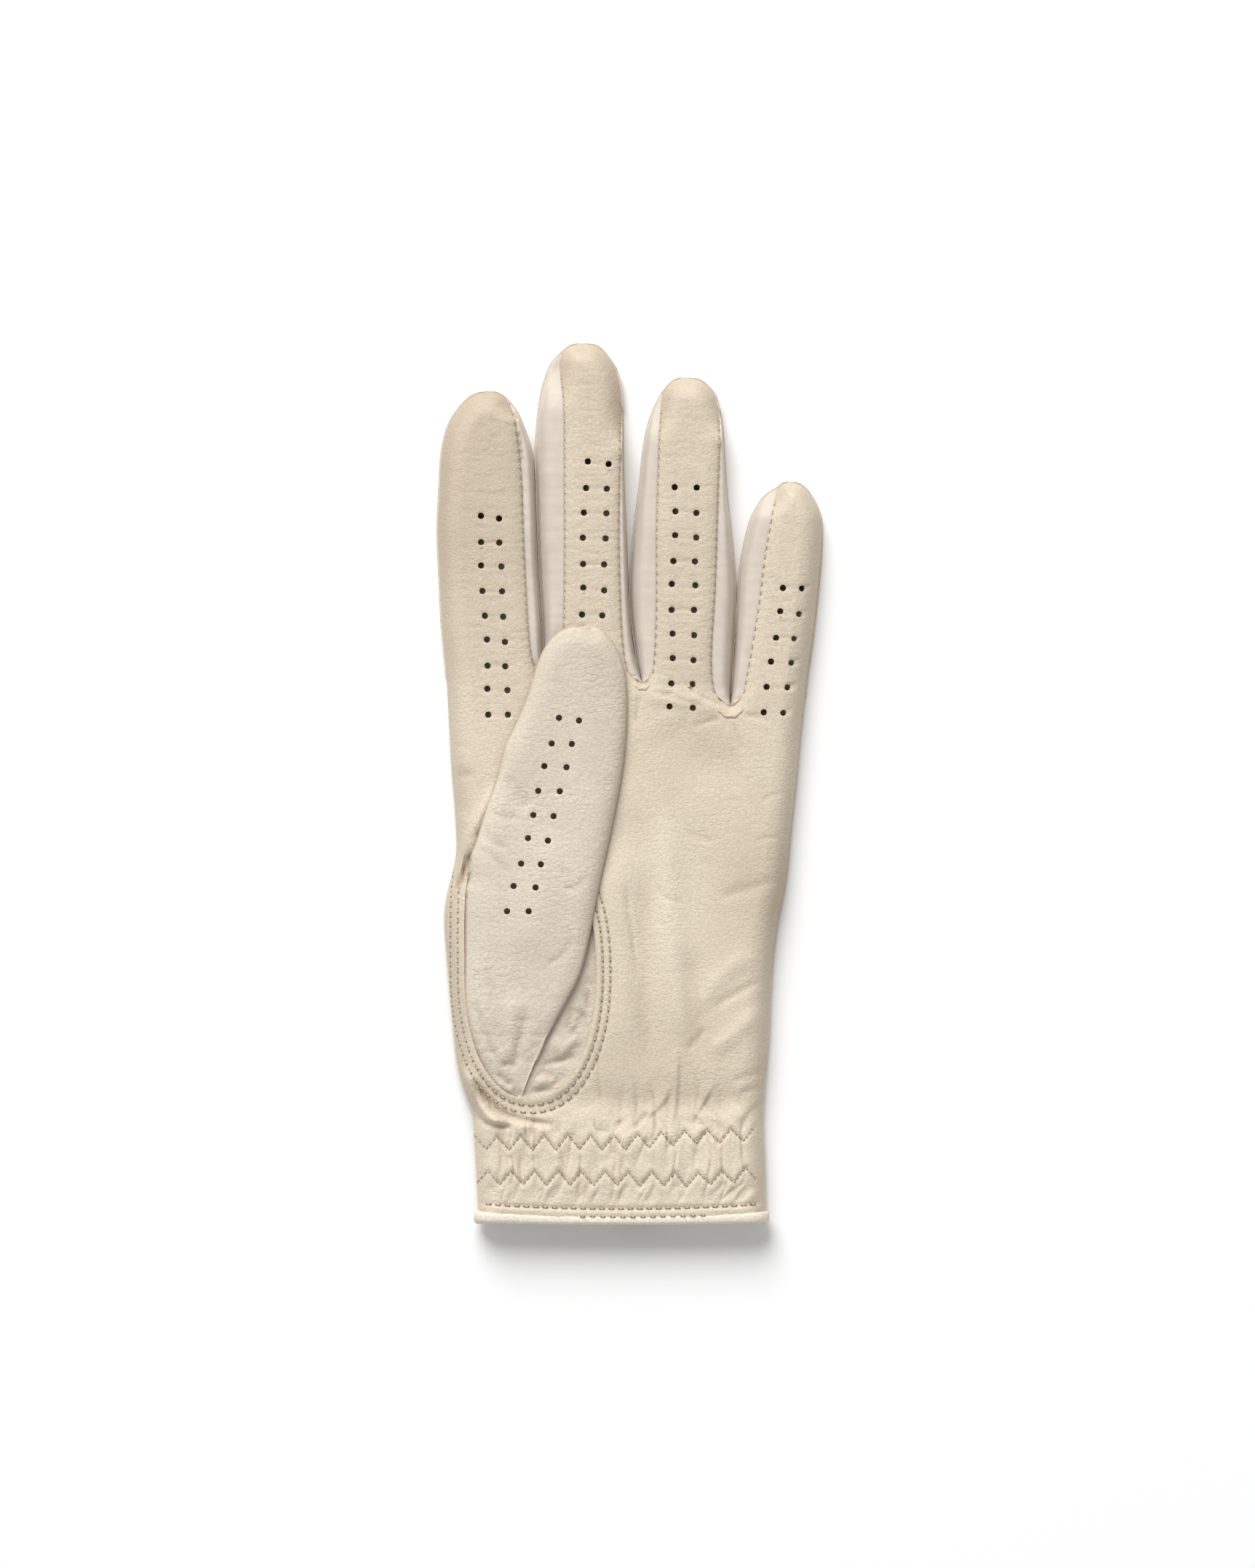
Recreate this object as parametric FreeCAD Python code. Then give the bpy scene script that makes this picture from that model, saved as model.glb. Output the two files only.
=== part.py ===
"""A left-hand golf glove, lying flat on its back with the palm up.

Units are millimetres. While it is built, X runs from the thumb side (-) to the little finger
side (+), Y runs from the hem of the cuff to the fingertips, and Z is up, with the floor at 0.
At the end everything is moved so that the origin is the middle of the footprint, on the floor.
"""
import FreeCAD, Part
import math
import os

from FreeCAD import Vector

# ---- driving dimensions -------------------------------------------------------------------
HAND_LENGTH = 230.0      # hem to the tip of the middle finger
HAND_WIDTH = 100.3       # across the fingers, lying side by side
LEATHER = 0.8            # thickness of every leather panel
FOURCHETTE = 0.7         # thickness of the side walls between the fingers
BODY_HEIGHT = 10.0       # floor to the top of the palm panel
ROLL = 1.4               # how far the palm leather rolls in at an edge with no fourchette
FOLD_GAP = 0.4           # clearance across each finger fold
THUMB_HEIGHT = 7.6       # thickness of the flattened thumb
THUMB_CLEARANCE = 0.5    # between the thumb and the palm under it
PUNCH_RADIUS = 0.75      # ventilation holes

BINDING_DEPTH = 3.0      # width of the hem binding
BINDING_WALL = 1.6       # thickness of the folded binding
ELASTIC_WIDTH = 6.0      # the two elastic tapes inside the cuff
ELASTIC_THICKNESS = 0.8
ELASTIC_LOWER = 12.3     # middle of each tape above the hem
ELASTIC_UPPER = 21.7
ELASTIC_INSET = 2.0      # from the inside of the cuff's edges
ZIGZAG_HEIGHT = 3.6
ZIGZAG_COUNT = 12
THREAD_WIDTH = 0.4
THREAD_HEIGHT = 0.2
HEM_STITCH_AT = 4.2      # the row of stitches just above the binding

OVAL_HALF_WIDTH = 17.2   # the hole in the palm that the thumb is set into
OVAL_HALF_LENGTH = 33.0
OVAL_FROM_EDGE = 5.1     # its distance in from the thumb edge of the palm
OVAL_ABOVE_CUFF = 9.5    # its distance above the upper zigzag line
SEAM_ROWS = (1.4, 3.2)   # the two rows of stitches, measured out from the oval's edge
THUMB_PASSAGE = 12.8     # radius of the way from the palm into the thumb
THUMB_SET_OFF = (-3.0, 4.6)   # middle of that passage, from the middle of the oval
THUMB_LEAN = 11.9        # degrees that the thumb leans towards the little finger
THUMB_LENGTH = 74.5      # pivot to the centre of the round tip
THUMB_BASE_RADIUS = 18.0
THUMB_TIP_RADIUS = 12.4
THUMB_FOLD_AT = 45.0     # where the thumb bends, from the pivot
THUMB_PUNCHES = {"foot": (-4.6, 10.5), "head": (-0.9, 62.2), "rows": 9, "apart": 5.3}   # from the pivot

SLIT_AT = 2.0            # middle of the closure slit in the back
SLIT_WIDTH = 10.0        # at the hem
SLIT_LENGTH = 62.0
SLIT_BINDING_WIDTH = 2.5
SLIT_BINDING_HEIGHT = 0.6
TAB_ROOT = -19.0         # where the closure tab bends, on the thumb side
TAB_ANCHOR = 8.0         # length of tab sewn to the back
TAB_LENGTH = 47.0        # bend to the round end
TAB_FROM_HEM = 14.0
TAB_WIDTH = 32.0
TAB_THICKNESS = 0.7
PAD_THICKNESS = 0.4      # hook pad and loop pad
PAD_CLEARANCE = 0.3      # between the hooks and the loops
PAD_EDGE = 2.5           # margin of bare leather round the hook pad
HOOK_PAD_LENGTH = 21.0
LOOP_PAD_LENGTH = 26.0
LIFT_MARGIN = 4.0        # the back panel stays lifted for this far past the slit
LIFT_RAMP = 8.0          # and comes down to the floor over this length

# ---- the pattern of the hand, drawn for one size and graded to the sizes above ---------------
DRAWN_LENGTH = 230.0
DRAWN_WIDTH = 100.3
# the edges of the hand, hem first
DRAWN_LEFT = [(-39.8, 0), (-40.8, 26), (-45.6, 48), (-48.3, 72), (-46.4, 92), (-45.6, 104), (-47.8, 141)]
DRAWN_RIGHT = [(35.3, 0), (34.9, 24), (36.6, 56), (38.8, 80), (42.6, 108), (45.6, 134)]

# Each finger: four seams, from the crotch to the shoulder of the tip, and the two tips.
# The back leather is wider than the front leather, and a fourchette joins the two.
# The third point of each seam is on the fold of the middle knuckle.
DRAWN_FINGERS = {
    "index": {
        "back_left": [(-47.8, 141), (-49.0, 155), (-49.9, 169), (-50.3, 185), (-48.6, 205)],
        "front_left": [(-46.4, 141), (-47.6, 155), (-48.5, 169), (-48.9, 185), (-47.2, 204)],
        "front_right": [(-22.7, 142), (-26.3, 155), (-27.1, 169), (-27.7, 185), (-29.3, 204)],
        "back_right": [(-22.7, 142), (-23.5, 155), (-24.8, 169), (-25.3, 185), (-27.0, 205)],
        "back_tip": (-37.4, 217.5), "front_tip": (-37.8, 216.3),
        "punches": {"foot": (-36.7, 133.2), "head": (-39.0, 184.7), "rows": 9, "apart": 5.0},
    },
    "middle": {
        "back_left": [(-22.1, 142), (-22.8, 152), (-24.3, 174), (-24.7, 195), (-23.4, 217)],
        "front_left": [(-22.1, 142), (-17.9, 152), (-17.4, 174), (-17.4, 195), (-17.9, 216)],
        "front_right": [(3.0, 141.5), (-1.6, 152), (-2.4, 174), (-2.6, 195), (-3.2, 216)],
        "back_right": [(3.0, 141.5), (0.6, 152), (-0.9, 174), (-1.7, 195), (-2.4, 217)],
        "back_tip": (-12.6, 230.0), "front_tip": (-11.4, 228.8),
        "punches": {"foot": (-10.2, 139.6), "head": (-8.6, 198.9), "rows": 10, "apart": 5.6},
    },
    "ring": {
        "back_left": [(3.4, 141.5), (1.3, 152), (0.1, 170), (2.4, 190), (6.0, 211)],
        "front_left": [(3.4, 141.5), (6.2, 152), (6.4, 170), (6.8, 190), (8.0, 210)],
        "front_right": [(26.0, 135.5), (21.6, 148), (22.6, 170), (23.0, 190), (22.9, 210)],
        "back_right": [(26.0, 135.5), (26.7, 148), (27.6, 170), (25.8, 190), (23.9, 211)],
        "back_tip": (15.0, 221.0), "front_tip": (15.4, 219.8),
        "punches": {"foot": (13.4, 135.0), "head": (14.6, 192.5), "rows": 10, "apart": 5.7},
    },
    "little": {
        "back_left": [(26.4, 135.5), (27.3, 146), (27.9, 156), (28.9, 172), (33.6, 186)],
        "front_left": [(26.4, 135.5), (30.6, 146), (32.2, 156), (34.5, 172), (37.4, 185)],
        "front_right": [(44.2, 134), (45.5, 146), (47.0, 156), (48.5, 172), (47.4, 185)],
        "back_right": [(45.6, 134), (46.9, 146), (48.4, 156), (50.0, 172), (49.0, 186)],
        "back_tip": (42.2, 193.8), "front_tip": (42.8, 192.6),
        "punches": {"foot": (37.6, 133.8), "head": (42.4, 166.3), "rows": 6, "apart": 5.2},
    },
}
ORDER = ["index", "middle", "ring", "little"]
FOLD = 2                 # the place of the knuckle fold in each seam


def graded(point):
    return point[0] * HAND_WIDTH / DRAWN_WIDTH, point[1] * HAND_LENGTH / DRAWN_LENGTH


def graded_line(points):
    return [graded(point) for point in points]


def graded_finger(drawn):
    spec = {}
    for level in ("back", "front"):
        spec[level + "_tip"] = graded(drawn[level + "_tip"])
        for side in ("left", "right"):
            spec[level + "_" + side] = graded_line(drawn[level + "_" + side])
    spec["punches"] = dict(drawn["punches"])
    for end in ("foot", "head"):
        spec["punches"][end] = graded(drawn["punches"][end])
    return spec


def edge_x(line, y):
    """Where an edge line stands at a height above the hem."""
    for (x0, y0), (x1, y1) in zip(line, line[1:]):
        if y0 <= y <= y1:
            return x0 + (x1 - x0) * (y - y0) / (y1 - y0)
    return line[-1][0]


# ---- what follows from the sizes above --------------------------------------------------------
PALM_LEFT = graded_line(DRAWN_LEFT)
PALM_RIGHT = graded_line(DRAWN_RIGHT)
FINGERS = {name: graded_finger(DRAWN_FINGERS[name]) for name in ORDER}
PLATE_BOTTOM = BODY_HEIGHT - LEATHER
OVAL_Y = ELASTIC_UPPER + ZIGZAG_HEIGHT / 2 + OVAL_ABOVE_CUFF + OVAL_HALF_LENGTH
OVAL_X = edge_x(PALM_LEFT, OVAL_Y) + OVAL_FROM_EDGE + OVAL_HALF_WIDTH
THUMB_PIVOT = (OVAL_X + THUMB_SET_OFF[0], OVAL_Y + THUMB_SET_OFF[1])
PAD_STACK = 2 * PAD_THICKNESS + PAD_CLEARANCE
WRIST_LIFT = TAB_THICKNESS + PAD_STACK     # the closure holds the back panel this far off the floor
LIFT_FROM = SLIT_LENGTH + LIFT_MARGIN
LIFT_TO = LIFT_FROM + LIFT_RAMP
TAB_LOW = TAB_FROM_HEM
TAB_HIGH = TAB_FROM_HEM + TAB_WIDTH


# ---- shapes ----------------------------------------------------------------------------------
def at_height(points, z):
    return [Vector(x, y, z) for x, y in points]


def polygon(points, z):
    """A closed wire of straight edges."""
    corners = at_height(points, z)
    return Part.makePolygon(corners + corners[:1])


def plate(points, z_low, z_high):
    return Part.Face(polygon(points, z_low)).extrude(Vector(0, 0, z_high - z_low))


def box(x_range, y_range, z_range):
    low = Vector(x_range[0], y_range[0], z_range[0])
    return Part.makeBox(x_range[1] - x_range[0], y_range[1] - y_range[0], z_range[1] - z_range[0], low)


def shifted(points, dx):
    return [(x + dx, y) for x, y in points]


def wall(low_line, high_line, inward, z_low, z_high):
    """A side wall, from low_line at its foot to high_line at its top, thickened by inward along X."""
    wires = []
    for line, z in ((low_line, z_low), (high_line, z_high)):
        wires.append(polygon(line + shifted(line, inward)[::-1], z))
    return Part.makeLoft(wires, True, True)


def tip_arc_wire(left, tip, right, inset, z):
    """The band round a fingertip: an outer arc and an inner arc, joined at the shoulders."""
    inner_left = Vector(left[0] + inset, left[1], z)
    inner_right = Vector(right[0] - inset, right[1], z)
    outer = Part.Arc(Vector(*left, z), Vector(*tip, z), Vector(*right, z)).toShape()
    inner = Part.Arc(inner_right, Vector(tip[0], tip[1] - inset, z), inner_left).toShape()
    side_right = Part.LineSegment(Vector(*right, z), inner_right).toShape()
    side_left = Part.LineSegment(inner_left, Vector(*left, z)).toShape()
    return Part.Wire([outer, side_right, inner, side_left])


def ellipse_face(half_width, half_length, z):
    """An upright oval about the middle of the thumb hole."""
    edge = Part.Ellipse(Vector(OVAL_X, OVAL_Y, z), half_length, half_width).toShape()
    edge.rotate(Vector(OVAL_X, OVAL_Y, z), Vector(0, 0, 1), 90)
    return Part.Face(Part.Wire([edge]))


def oval_prism(grow, z_low, z_high):
    face = ellipse_face(OVAL_HALF_WIDTH + grow, OVAL_HALF_LENGTH + grow, z_low)
    return face.extrude(Vector(0, 0, z_high - z_low))


def between(a, b, share):
    return tuple(p + (q - p) * share for p, q in zip(a, b))


def shortened(line, end_gap):
    """The stretch of a seam from the crotch to just short of the fold."""
    kept = line[:FOLD + 1]
    x, y = kept[-1]
    return kept[:-1] + [(x, y - end_gap)]


def past_fold(line, start_gap):
    """The stretch of a seam from just past the fold to the shoulder."""
    kept = line[FOLD:]
    x, y = kept[0]
    return [(x, y + start_gap)] + kept[1:]


def joined(shapes):
    whole = shapes[0]
    for shape in shapes[1:]:
        whole = whole.fuse(shape)
    return whole.removeSplitter()


def group(shapes):
    """Several separate solids in one node."""
    return Part.makeCompound([solid for shape in shapes for solid in shape.Solids])


def punches(spec, z_low, z_high):
    """The double row of ventilation holes that runs up a finger."""
    drills = []
    for row in range(spec["rows"]):
        x, y = between(spec["foot"], spec["head"], row / (spec["rows"] - 1))
        for side in (-spec["apart"] / 2, spec["apart"] / 2):
            centre = Vector(x + side, y, z_low)
            drills.append(Part.makeCylinder(PUNCH_RADIUS, z_high - z_low, centre))
    return Part.makeCompound(drills)


def finger_punches(spec):
    return punches(spec["punches"], PLATE_BOTTOM - 1, BODY_HEIGHT + 1)


def fourchette_side(spec, side, part_of):
    """One wall between the front and the back leather, on one side of a finger."""
    inward = FOURCHETTE if side == "left" else -FOURCHETTE
    low = part_of(spec["back_" + side], FOLD_GAP / 2)
    high = part_of(spec["front_" + side], FOLD_GAP / 2)
    return wall(low, high, inward, LEATHER, PLATE_BOTTOM)


def leather_side(low, high, inward):
    """A rolled edge of the front leather, where a finger or the palm has no fourchette."""
    return wall(low, high, inward, LEATHER, PLATE_BOTTOM)


# ---- the moving half of each finger ---------------------------------------------------------
def finger_front(spec, rolled_side):
    """The front leather past the fold: the plate, the round tip and, at an outer finger, its roll."""
    left = past_fold(spec["front_left"], FOLD_GAP / 2)
    right = past_fold(spec["front_right"], FOLD_GAP / 2)
    edges = [Part.makePolygon(at_height(left, PLATE_BOTTOM))]
    tip = Part.Arc(*at_height([left[-1], spec["front_tip"], right[-1]], PLATE_BOTTOM)).toShape()
    edges += [tip, Part.makePolygon(at_height(right[::-1] + left[:1], PLATE_BOTTOM))]
    outline = Part.Wire([edge for shape in edges for edge in shape.Edges])
    top = Part.Face(outline).extrude(Vector(0, 0, LEATHER))
    tips = [tip_arc_wire(spec["back_left"][-1], spec["back_tip"], spec["back_right"][-1], LEATHER, LEATHER),
            tip_arc_wire(left[-1], spec["front_tip"], right[-1], LEATHER, PLATE_BOTTOM)]
    pieces = [top, Part.makeLoft(tips, True, True)]
    if rolled_side:
        inward = LEATHER if rolled_side == "left" else -LEATHER
        low = past_fold(spec["back_" + rolled_side], FOLD_GAP / 2)
        high = past_fold(spec["front_" + rolled_side], FOLD_GAP / 2)
        pieces.append(leather_side(low, high, inward))
    return joined(pieces).cut(finger_punches(spec))


def finger_back(spec):
    left = past_fold(spec["back_left"], FOLD_GAP / 2)
    right = past_fold(spec["back_right"], FOLD_GAP / 2)
    tip = Part.Arc(*at_height([left[-1], spec["back_tip"], right[-1]], 0)).toShape()
    edges = Part.makePolygon(at_height(left, 0)).Edges + [tip]
    edges += Part.makePolygon(at_height(right[::-1] + left[:1], 0)).Edges
    return Part.Face(Part.Wire(edges)).extrude(Vector(0, 0, LEATHER))


# ---- the hand ------------------------------------------------------------------------------------
def hand_outline(level):
    """The outline of the front or the back leather, from the hem round the stubs of the fingers."""
    palm_left = PALM_LEFT if level == "back" else shifted(PALM_LEFT, ROLL)
    palm_right = PALM_RIGHT if level == "back" else shifted(PALM_RIGHT, -ROLL)
    points = list(palm_left[:-1])
    for name in ORDER:
        left = shortened(FINGERS[name][level + "_left"], FOLD_GAP / 2)
        right = shortened(FINGERS[name][level + "_right"], FOLD_GAP / 2)
        points += left + right[::-1]
    points += palm_right[:-1][::-1]
    return points


def behind_binding(shape):
    """The panels stop where the hem binding takes over."""
    return shape.cut(box((-99, 99), (-1, BINDING_DEPTH), (-9, 99)))


def wrist_lifter(extra):
    """What lies under the lifted wrist part of the back panel, as a block across the hand."""
    profile = [(-9, -9), (-9, WRIST_LIFT + extra), (LIFT_FROM, WRIST_LIFT + extra),
               (LIFT_TO, extra), (300, extra), (300, -9)]
    corners = [Vector(-99, y, z) for y, z in profile]
    face = Part.Face(Part.makePolygon(corners + corners[:1]))
    return face.extrude(Vector(198, 0, 0))


def palm_panel():
    """The front leather of the hand: the palm, its two rolled edges and the stubs of the fingers."""
    top = plate(hand_outline("front"), PLATE_BOTTOM, BODY_HEIGHT)
    index, little = FINGERS["index"], FINGERS["little"]
    left_low = PALM_LEFT[:-1] + shortened(index["back_left"], FOLD_GAP / 2)
    left_high = shifted(PALM_LEFT, ROLL)[:-1] + shortened(index["front_left"], FOLD_GAP / 2)
    right_low = PALM_RIGHT[:-1] + shortened(little["back_right"], FOLD_GAP / 2)
    right_high = shifted(PALM_RIGHT, -ROLL)[:-1] + shortened(little["front_right"], FOLD_GAP / 2)
    sides = [leather_side(left_low, left_high, LEATHER), leather_side(right_low, right_high, -LEATHER)]
    panel = joined([top] + [side.cut(wrist_lifter(LEATHER)) for side in sides])
    panel = panel.cut(oval_prism(0, PLATE_BOTTOM - 1, BODY_HEIGHT + 1))
    for name in ORDER:
        panel = panel.cut(finger_punches(FINGERS[name]))
    return behind_binding(panel)


def slit(grow, z_low, z_high):
    """The closure slit, a narrow V with its point towards the knuckles."""
    half = SLIT_WIDTH / 2 + grow
    points = [(SLIT_AT - half, -1), (SLIT_AT, SLIT_LENGTH + grow), (SLIT_AT + half, -1)]
    return plate(points, z_low, z_high)


def back_panel():
    """The back leather of the hand, lifted over the closure at the wrist."""
    block = plate(hand_outline("back"), 0, WRIST_LIFT + LEATHER)
    panel = block.common(wrist_lifter(LEATHER)).cut(wrist_lifter(0))
    return behind_binding(panel).cut(slit(0, -1, BODY_HEIGHT))


def fourchette(left_finger, right_finger):
    """The strip between two fingers up to their folds: two walls and the web in the crotch."""
    left_spec, right_spec = FINGERS[left_finger], FINGERS[right_finger]
    walls = [fourchette_side(left_spec, "right", shortened), fourchette_side(right_spec, "left", shortened)]
    x_left, y_left = left_spec["back_right"][0]
    x_right, y_right = right_spec["back_left"][0]
    web = box((x_left - FOURCHETTE, x_right + FOURCHETTE), (y_left - FOURCHETTE, y_left),
              (LEATHER, PLATE_BOTTOM))
    return joined(walls + [web])


def thumb_gusset():
    """The flat foot of the thumb leather, seen in the oval between its seam and the thumb itself."""
    passage = Part.makeCylinder(THUMB_PASSAGE, BODY_HEIGHT, Vector(THUMB_PIVOT[0], THUMB_PIVOT[1], 0))
    return oval_prism(0, PLATE_BOTTOM, BODY_HEIGHT).cut(passage)


def thumb_seam_stitching():
    """The double row of stitches round the oval."""
    rows = []
    for out in SEAM_ROWS:
        outer = oval_prism(out + THREAD_WIDTH / 2, BODY_HEIGHT, BODY_HEIGHT + THREAD_HEIGHT)
        inner = oval_prism(out - THREAD_WIDTH / 2, BODY_HEIGHT, BODY_HEIGHT + THREAD_HEIGHT)
        rows.append(outer.cut(inner))
    return group(rows)


def cuff_span(inset):
    """The left and right ends of what runs across the palm side of the cuff."""
    return PALM_LEFT[0][0] + ROLL + inset, PALM_RIGHT[1][0] - ROLL - inset


def wrist_elastic(middle):
    """An elastic tape against the inside of the palm panel."""
    left, right = cuff_span(ELASTIC_INSET)
    return box((left, right), (middle - ELASTIC_WIDTH / 2, middle + ELASTIC_WIDTH / 2),
               (PLATE_BOTTOM - ELASTIC_THICKNESS, PLATE_BOTTOM))


def zigzag(middle):
    """One line of zigzag stitches over an elastic tape."""
    left, right = cuff_span(ELASTIC_INSET / 2)
    step = (right - left) / (2 * ZIGZAG_COUNT)
    line = []
    for turn in range(2 * ZIGZAG_COUNT + 1):
        side = 1 if turn % 2 else -1
        line.append((left + turn * step, middle + side * ZIGZAG_HEIGHT / 2))
    band = line + [(x, y + THREAD_WIDTH) for x, y in line][::-1]
    return plate(band, BODY_HEIGHT, BODY_HEIGHT + THREAD_HEIGHT)


def cuff_zigzag_stitching():
    return group([zigzag(ELASTIC_LOWER), zigzag(ELASTIC_UPPER)])


def hem_stitching():
    left, right = cuff_span(ELASTIC_INSET / 2)
    return box((left, right), (HEM_STITCH_AT - THREAD_WIDTH / 2, HEM_STITCH_AT + THREAD_WIDTH / 2),
               (BODY_HEIGHT, BODY_HEIGHT + THREAD_HEIGHT))


def cuff_binding():
    """The folded strip round the open end of the cuff, from one edge of the slit to the other."""
    left, right = PALM_LEFT[0][0], PALM_RIGHT[0][0]
    wires = []
    for inset in (0, BINDING_WALL):
        section = [(left + inset, WRIST_LIFT + inset), (left + inset + ROLL, BODY_HEIGHT - inset),
                   (right - inset - ROLL, BODY_HEIGHT - inset), (right - inset, WRIST_LIFT + inset)]
        corners = [Vector(x, 0, z) for x, z in section]
        wires.append(Part.makePolygon(corners + corners[:1]))
    outer, inner = (Part.Face(w).extrude(Vector(0, BINDING_DEPTH, 0)) for w in wires)
    return outer.cut(inner).cut(slit(0, WRIST_LIFT - 1, WRIST_LIFT + BINDING_WALL + 1))


def crotch_tacks():
    """The small knots of thread that hold each crotch."""
    tacks = []
    for name in ORDER[1:]:
        x, y = FINGERS[name]["front_left"][0]
        tacks.append(Part.makeCylinder(1.0, 2 * THREAD_HEIGHT, Vector(x, y - 1.2, BODY_HEIGHT)))
    return group(tacks)


# ---- the closure on the back ----------------------------------------------------------------------
def slit_binding():
    """The strip that neatens the edges of the slit, on the inside of the back panel."""
    low = WRIST_LIFT + LEATHER
    strip = slit(SLIT_BINDING_WIDTH, low, low + SLIT_BINDING_HEIGHT)
    strip = strip.cut(slit(0, low - 1, low + SLIT_BINDING_HEIGHT + 1))
    return strip.common(box((-99, 99), (BINDING_DEPTH + 1, LIFT_FROM), (0, 99)))


def round_ended(x_from, x_to, y_low, y_high, z_low, z_high):
    """A plate with a straight left end and a round right end."""
    radius = (y_high - y_low) / 2
    body = box((x_from, x_to - radius), (y_low, y_high), (z_low, z_high))
    end = Part.makeCylinder(radius, z_high - z_low, Vector(x_to - radius, (y_low + y_high) / 2, z_low))
    return body.fuse(end).removeSplitter()


def closure_tab():
    """The leather tab that crosses the slit."""
    return round_ended(TAB_ROOT + FOLD_GAP / 2, TAB_ROOT + TAB_LENGTH, TAB_LOW, TAB_HIGH, 0, TAB_THICKNESS)


def hook_pad():
    """Hook tape on the inner face of the tab's free end."""
    end = TAB_ROOT + TAB_LENGTH - PAD_EDGE
    return round_ended(end - HOOK_PAD_LENGTH, end, TAB_LOW + PAD_EDGE, TAB_HIGH - PAD_EDGE,
                       TAB_THICKNESS, TAB_THICKNESS + PAD_THICKNESS)


def loop_pad():
    """Loop tape on the back panel, facing the hooks, beside the slit."""
    end = TAB_ROOT + TAB_LENGTH - PAD_EDGE
    low = TAB_THICKNESS + PAD_THICKNESS + PAD_CLEARANCE
    return round_ended(end - LOOP_PAD_LENGTH + PAD_EDGE, end + PAD_EDGE, TAB_LOW, TAB_HIGH, low, WRIST_LIFT)


def closure_anchor():
    """The end of the tab that is sewn down, on the thumb side of the slit."""
    return box((TAB_ROOT - TAB_ANCHOR, TAB_ROOT - FOLD_GAP / 2), (TAB_LOW, TAB_HIGH), (0, WRIST_LIFT))


# ---- the thumb -------------------------------------------------------------------------------------
def teardrop(base_radius, tip_radius, length, z_low, z_high):
    """Two round ends joined by their tangents, along Y, with the larger one at the origin."""
    along = (base_radius - tip_radius) / length
    across = math.sqrt(1 - along ** 2)
    z = z_low
    edges = []
    right_base = Vector(base_radius * across, base_radius * along, z)
    right_tip = Vector(tip_radius * across, length + tip_radius * along, z)
    left_base = Vector(-right_base.x, right_base.y, z)
    left_tip = Vector(-right_tip.x, right_tip.y, z)
    edges.append(Part.LineSegment(right_base, right_tip).toShape())
    edges.append(Part.Arc(right_tip, Vector(0, length + tip_radius, z), left_tip).toShape())
    edges.append(Part.LineSegment(left_tip, left_base).toShape())
    edges.append(Part.Arc(left_base, Vector(0, -base_radius, z), right_base).toShape())
    return Part.Face(Part.Wire(edges)).extrude(Vector(0, 0, z_high - z_low))


def on_palm(shape):
    """Puts a piece of the thumb where it lies over the palm."""
    placed = shape.copy()
    placed.rotate(Vector(0, 0, 0), Vector(0, 0, 1), -THUMB_LEAN)
    placed.translate(Vector(THUMB_PIVOT[0], THUMB_PIVOT[1], 0))
    return placed


def thumb_parts():
    """The four pieces of the thumb: front and back leather, each side of its fold."""
    low = BODY_HEIGHT + THUMB_CLEARANCE
    high = low + THUMB_HEIGHT
    outer = teardrop(THUMB_BASE_RADIUS, THUMB_TIP_RADIUS, THUMB_LENGTH, low, high)
    inner = teardrop(THUMB_BASE_RADIUS - LEATHER, THUMB_TIP_RADIUS - LEATHER, THUMB_LENGTH,
                     low + LEATHER, high - LEATHER)
    shell = outer.cut(inner)
    shell = shell.cut(Part.makeCylinder(THUMB_PASSAGE, 2 * LEATHER, Vector(0, 0, low - LEATHER / 2)))
    shell = shell.cut(punches(THUMB_PUNCHES, high - LEATHER - 1, high + 1))
    underside = box((-99, 99), (-99, 199), (low - 1, low + LEATHER))
    near = box((-99, 99), (-99, THUMB_FOLD_AT - FOLD_GAP / 2), (0, 99))
    far = box((-99, 99), (THUMB_FOLD_AT + FOLD_GAP / 2, 199), (0, 99))
    front, back = shell.cut(underside), shell.common(underside)
    return {
        "thumb_front": on_palm(front.common(near)),
        "thumb_back": on_palm(back.common(near)),
        "thumb_tip_front": on_palm(front.common(far)),
        "thumb_tip_back": on_palm(back.common(far)),
    }


# ---- the whole glove ---------------------------------------------------------------------------------
def glove():
    nodes = {
        "palm_panel": palm_panel(),
        "back_panel": back_panel(),
        "fourchette_index_middle": fourchette("index", "middle"),
        "fourchette_middle_ring": fourchette("middle", "ring"),
        "fourchette_ring_little": fourchette("ring", "little"),
        "thumb_gusset": thumb_gusset(),
        "thumb_seam_stitching": thumb_seam_stitching(),
        "wrist_elastic_lower": wrist_elastic(ELASTIC_LOWER),
        "wrist_elastic_upper": wrist_elastic(ELASTIC_UPPER),
        "cuff_zigzag_stitching": cuff_zigzag_stitching(),
        "hem_stitching": hem_stitching(),
        "cuff_binding": cuff_binding(),
        "crotch_tacks": crotch_tacks(),
        "slit_binding": slit_binding(),
        "loop_pad": loop_pad(),
        "closure_anchor": closure_anchor(),
        "closure_tab": closure_tab(),
        "hook_pad": hook_pad(),
    }
    rolled = {"index": "left", "little": "right"}
    for name in ORDER:
        spec = FINGERS[name]
        nodes[name + "_front"] = finger_front(spec, rolled.get(name))
        nodes[name + "_back"] = finger_back(spec)
        for side in ("left", "right"):
            if rolled.get(name) != side:
                nodes[name + "_fourchette_" + side] = fourchette_side(spec, side, past_fold)
    nodes.update(thumb_parts())
    return nodes


def main():
    nodes = glove()
    bounds = Part.makeCompound(list(nodes.values())).optimalBoundingBox(False, False)
    home = Vector(-(bounds.XMin + bounds.XMax) / 2, -(bounds.YMin + bounds.YMax) / 2, -bounds.ZMin)
    os.makedirs("parts", exist_ok=True)
    for name, shape in nodes.items():
        placed = shape.copy()
        placed.translate(home)
        placed.exportStep("parts/" + name + ".step")
        print(name, len(placed.Solids), placed.isValid(), round(placed.Volume, 1))
    print("moved by", home)


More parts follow.
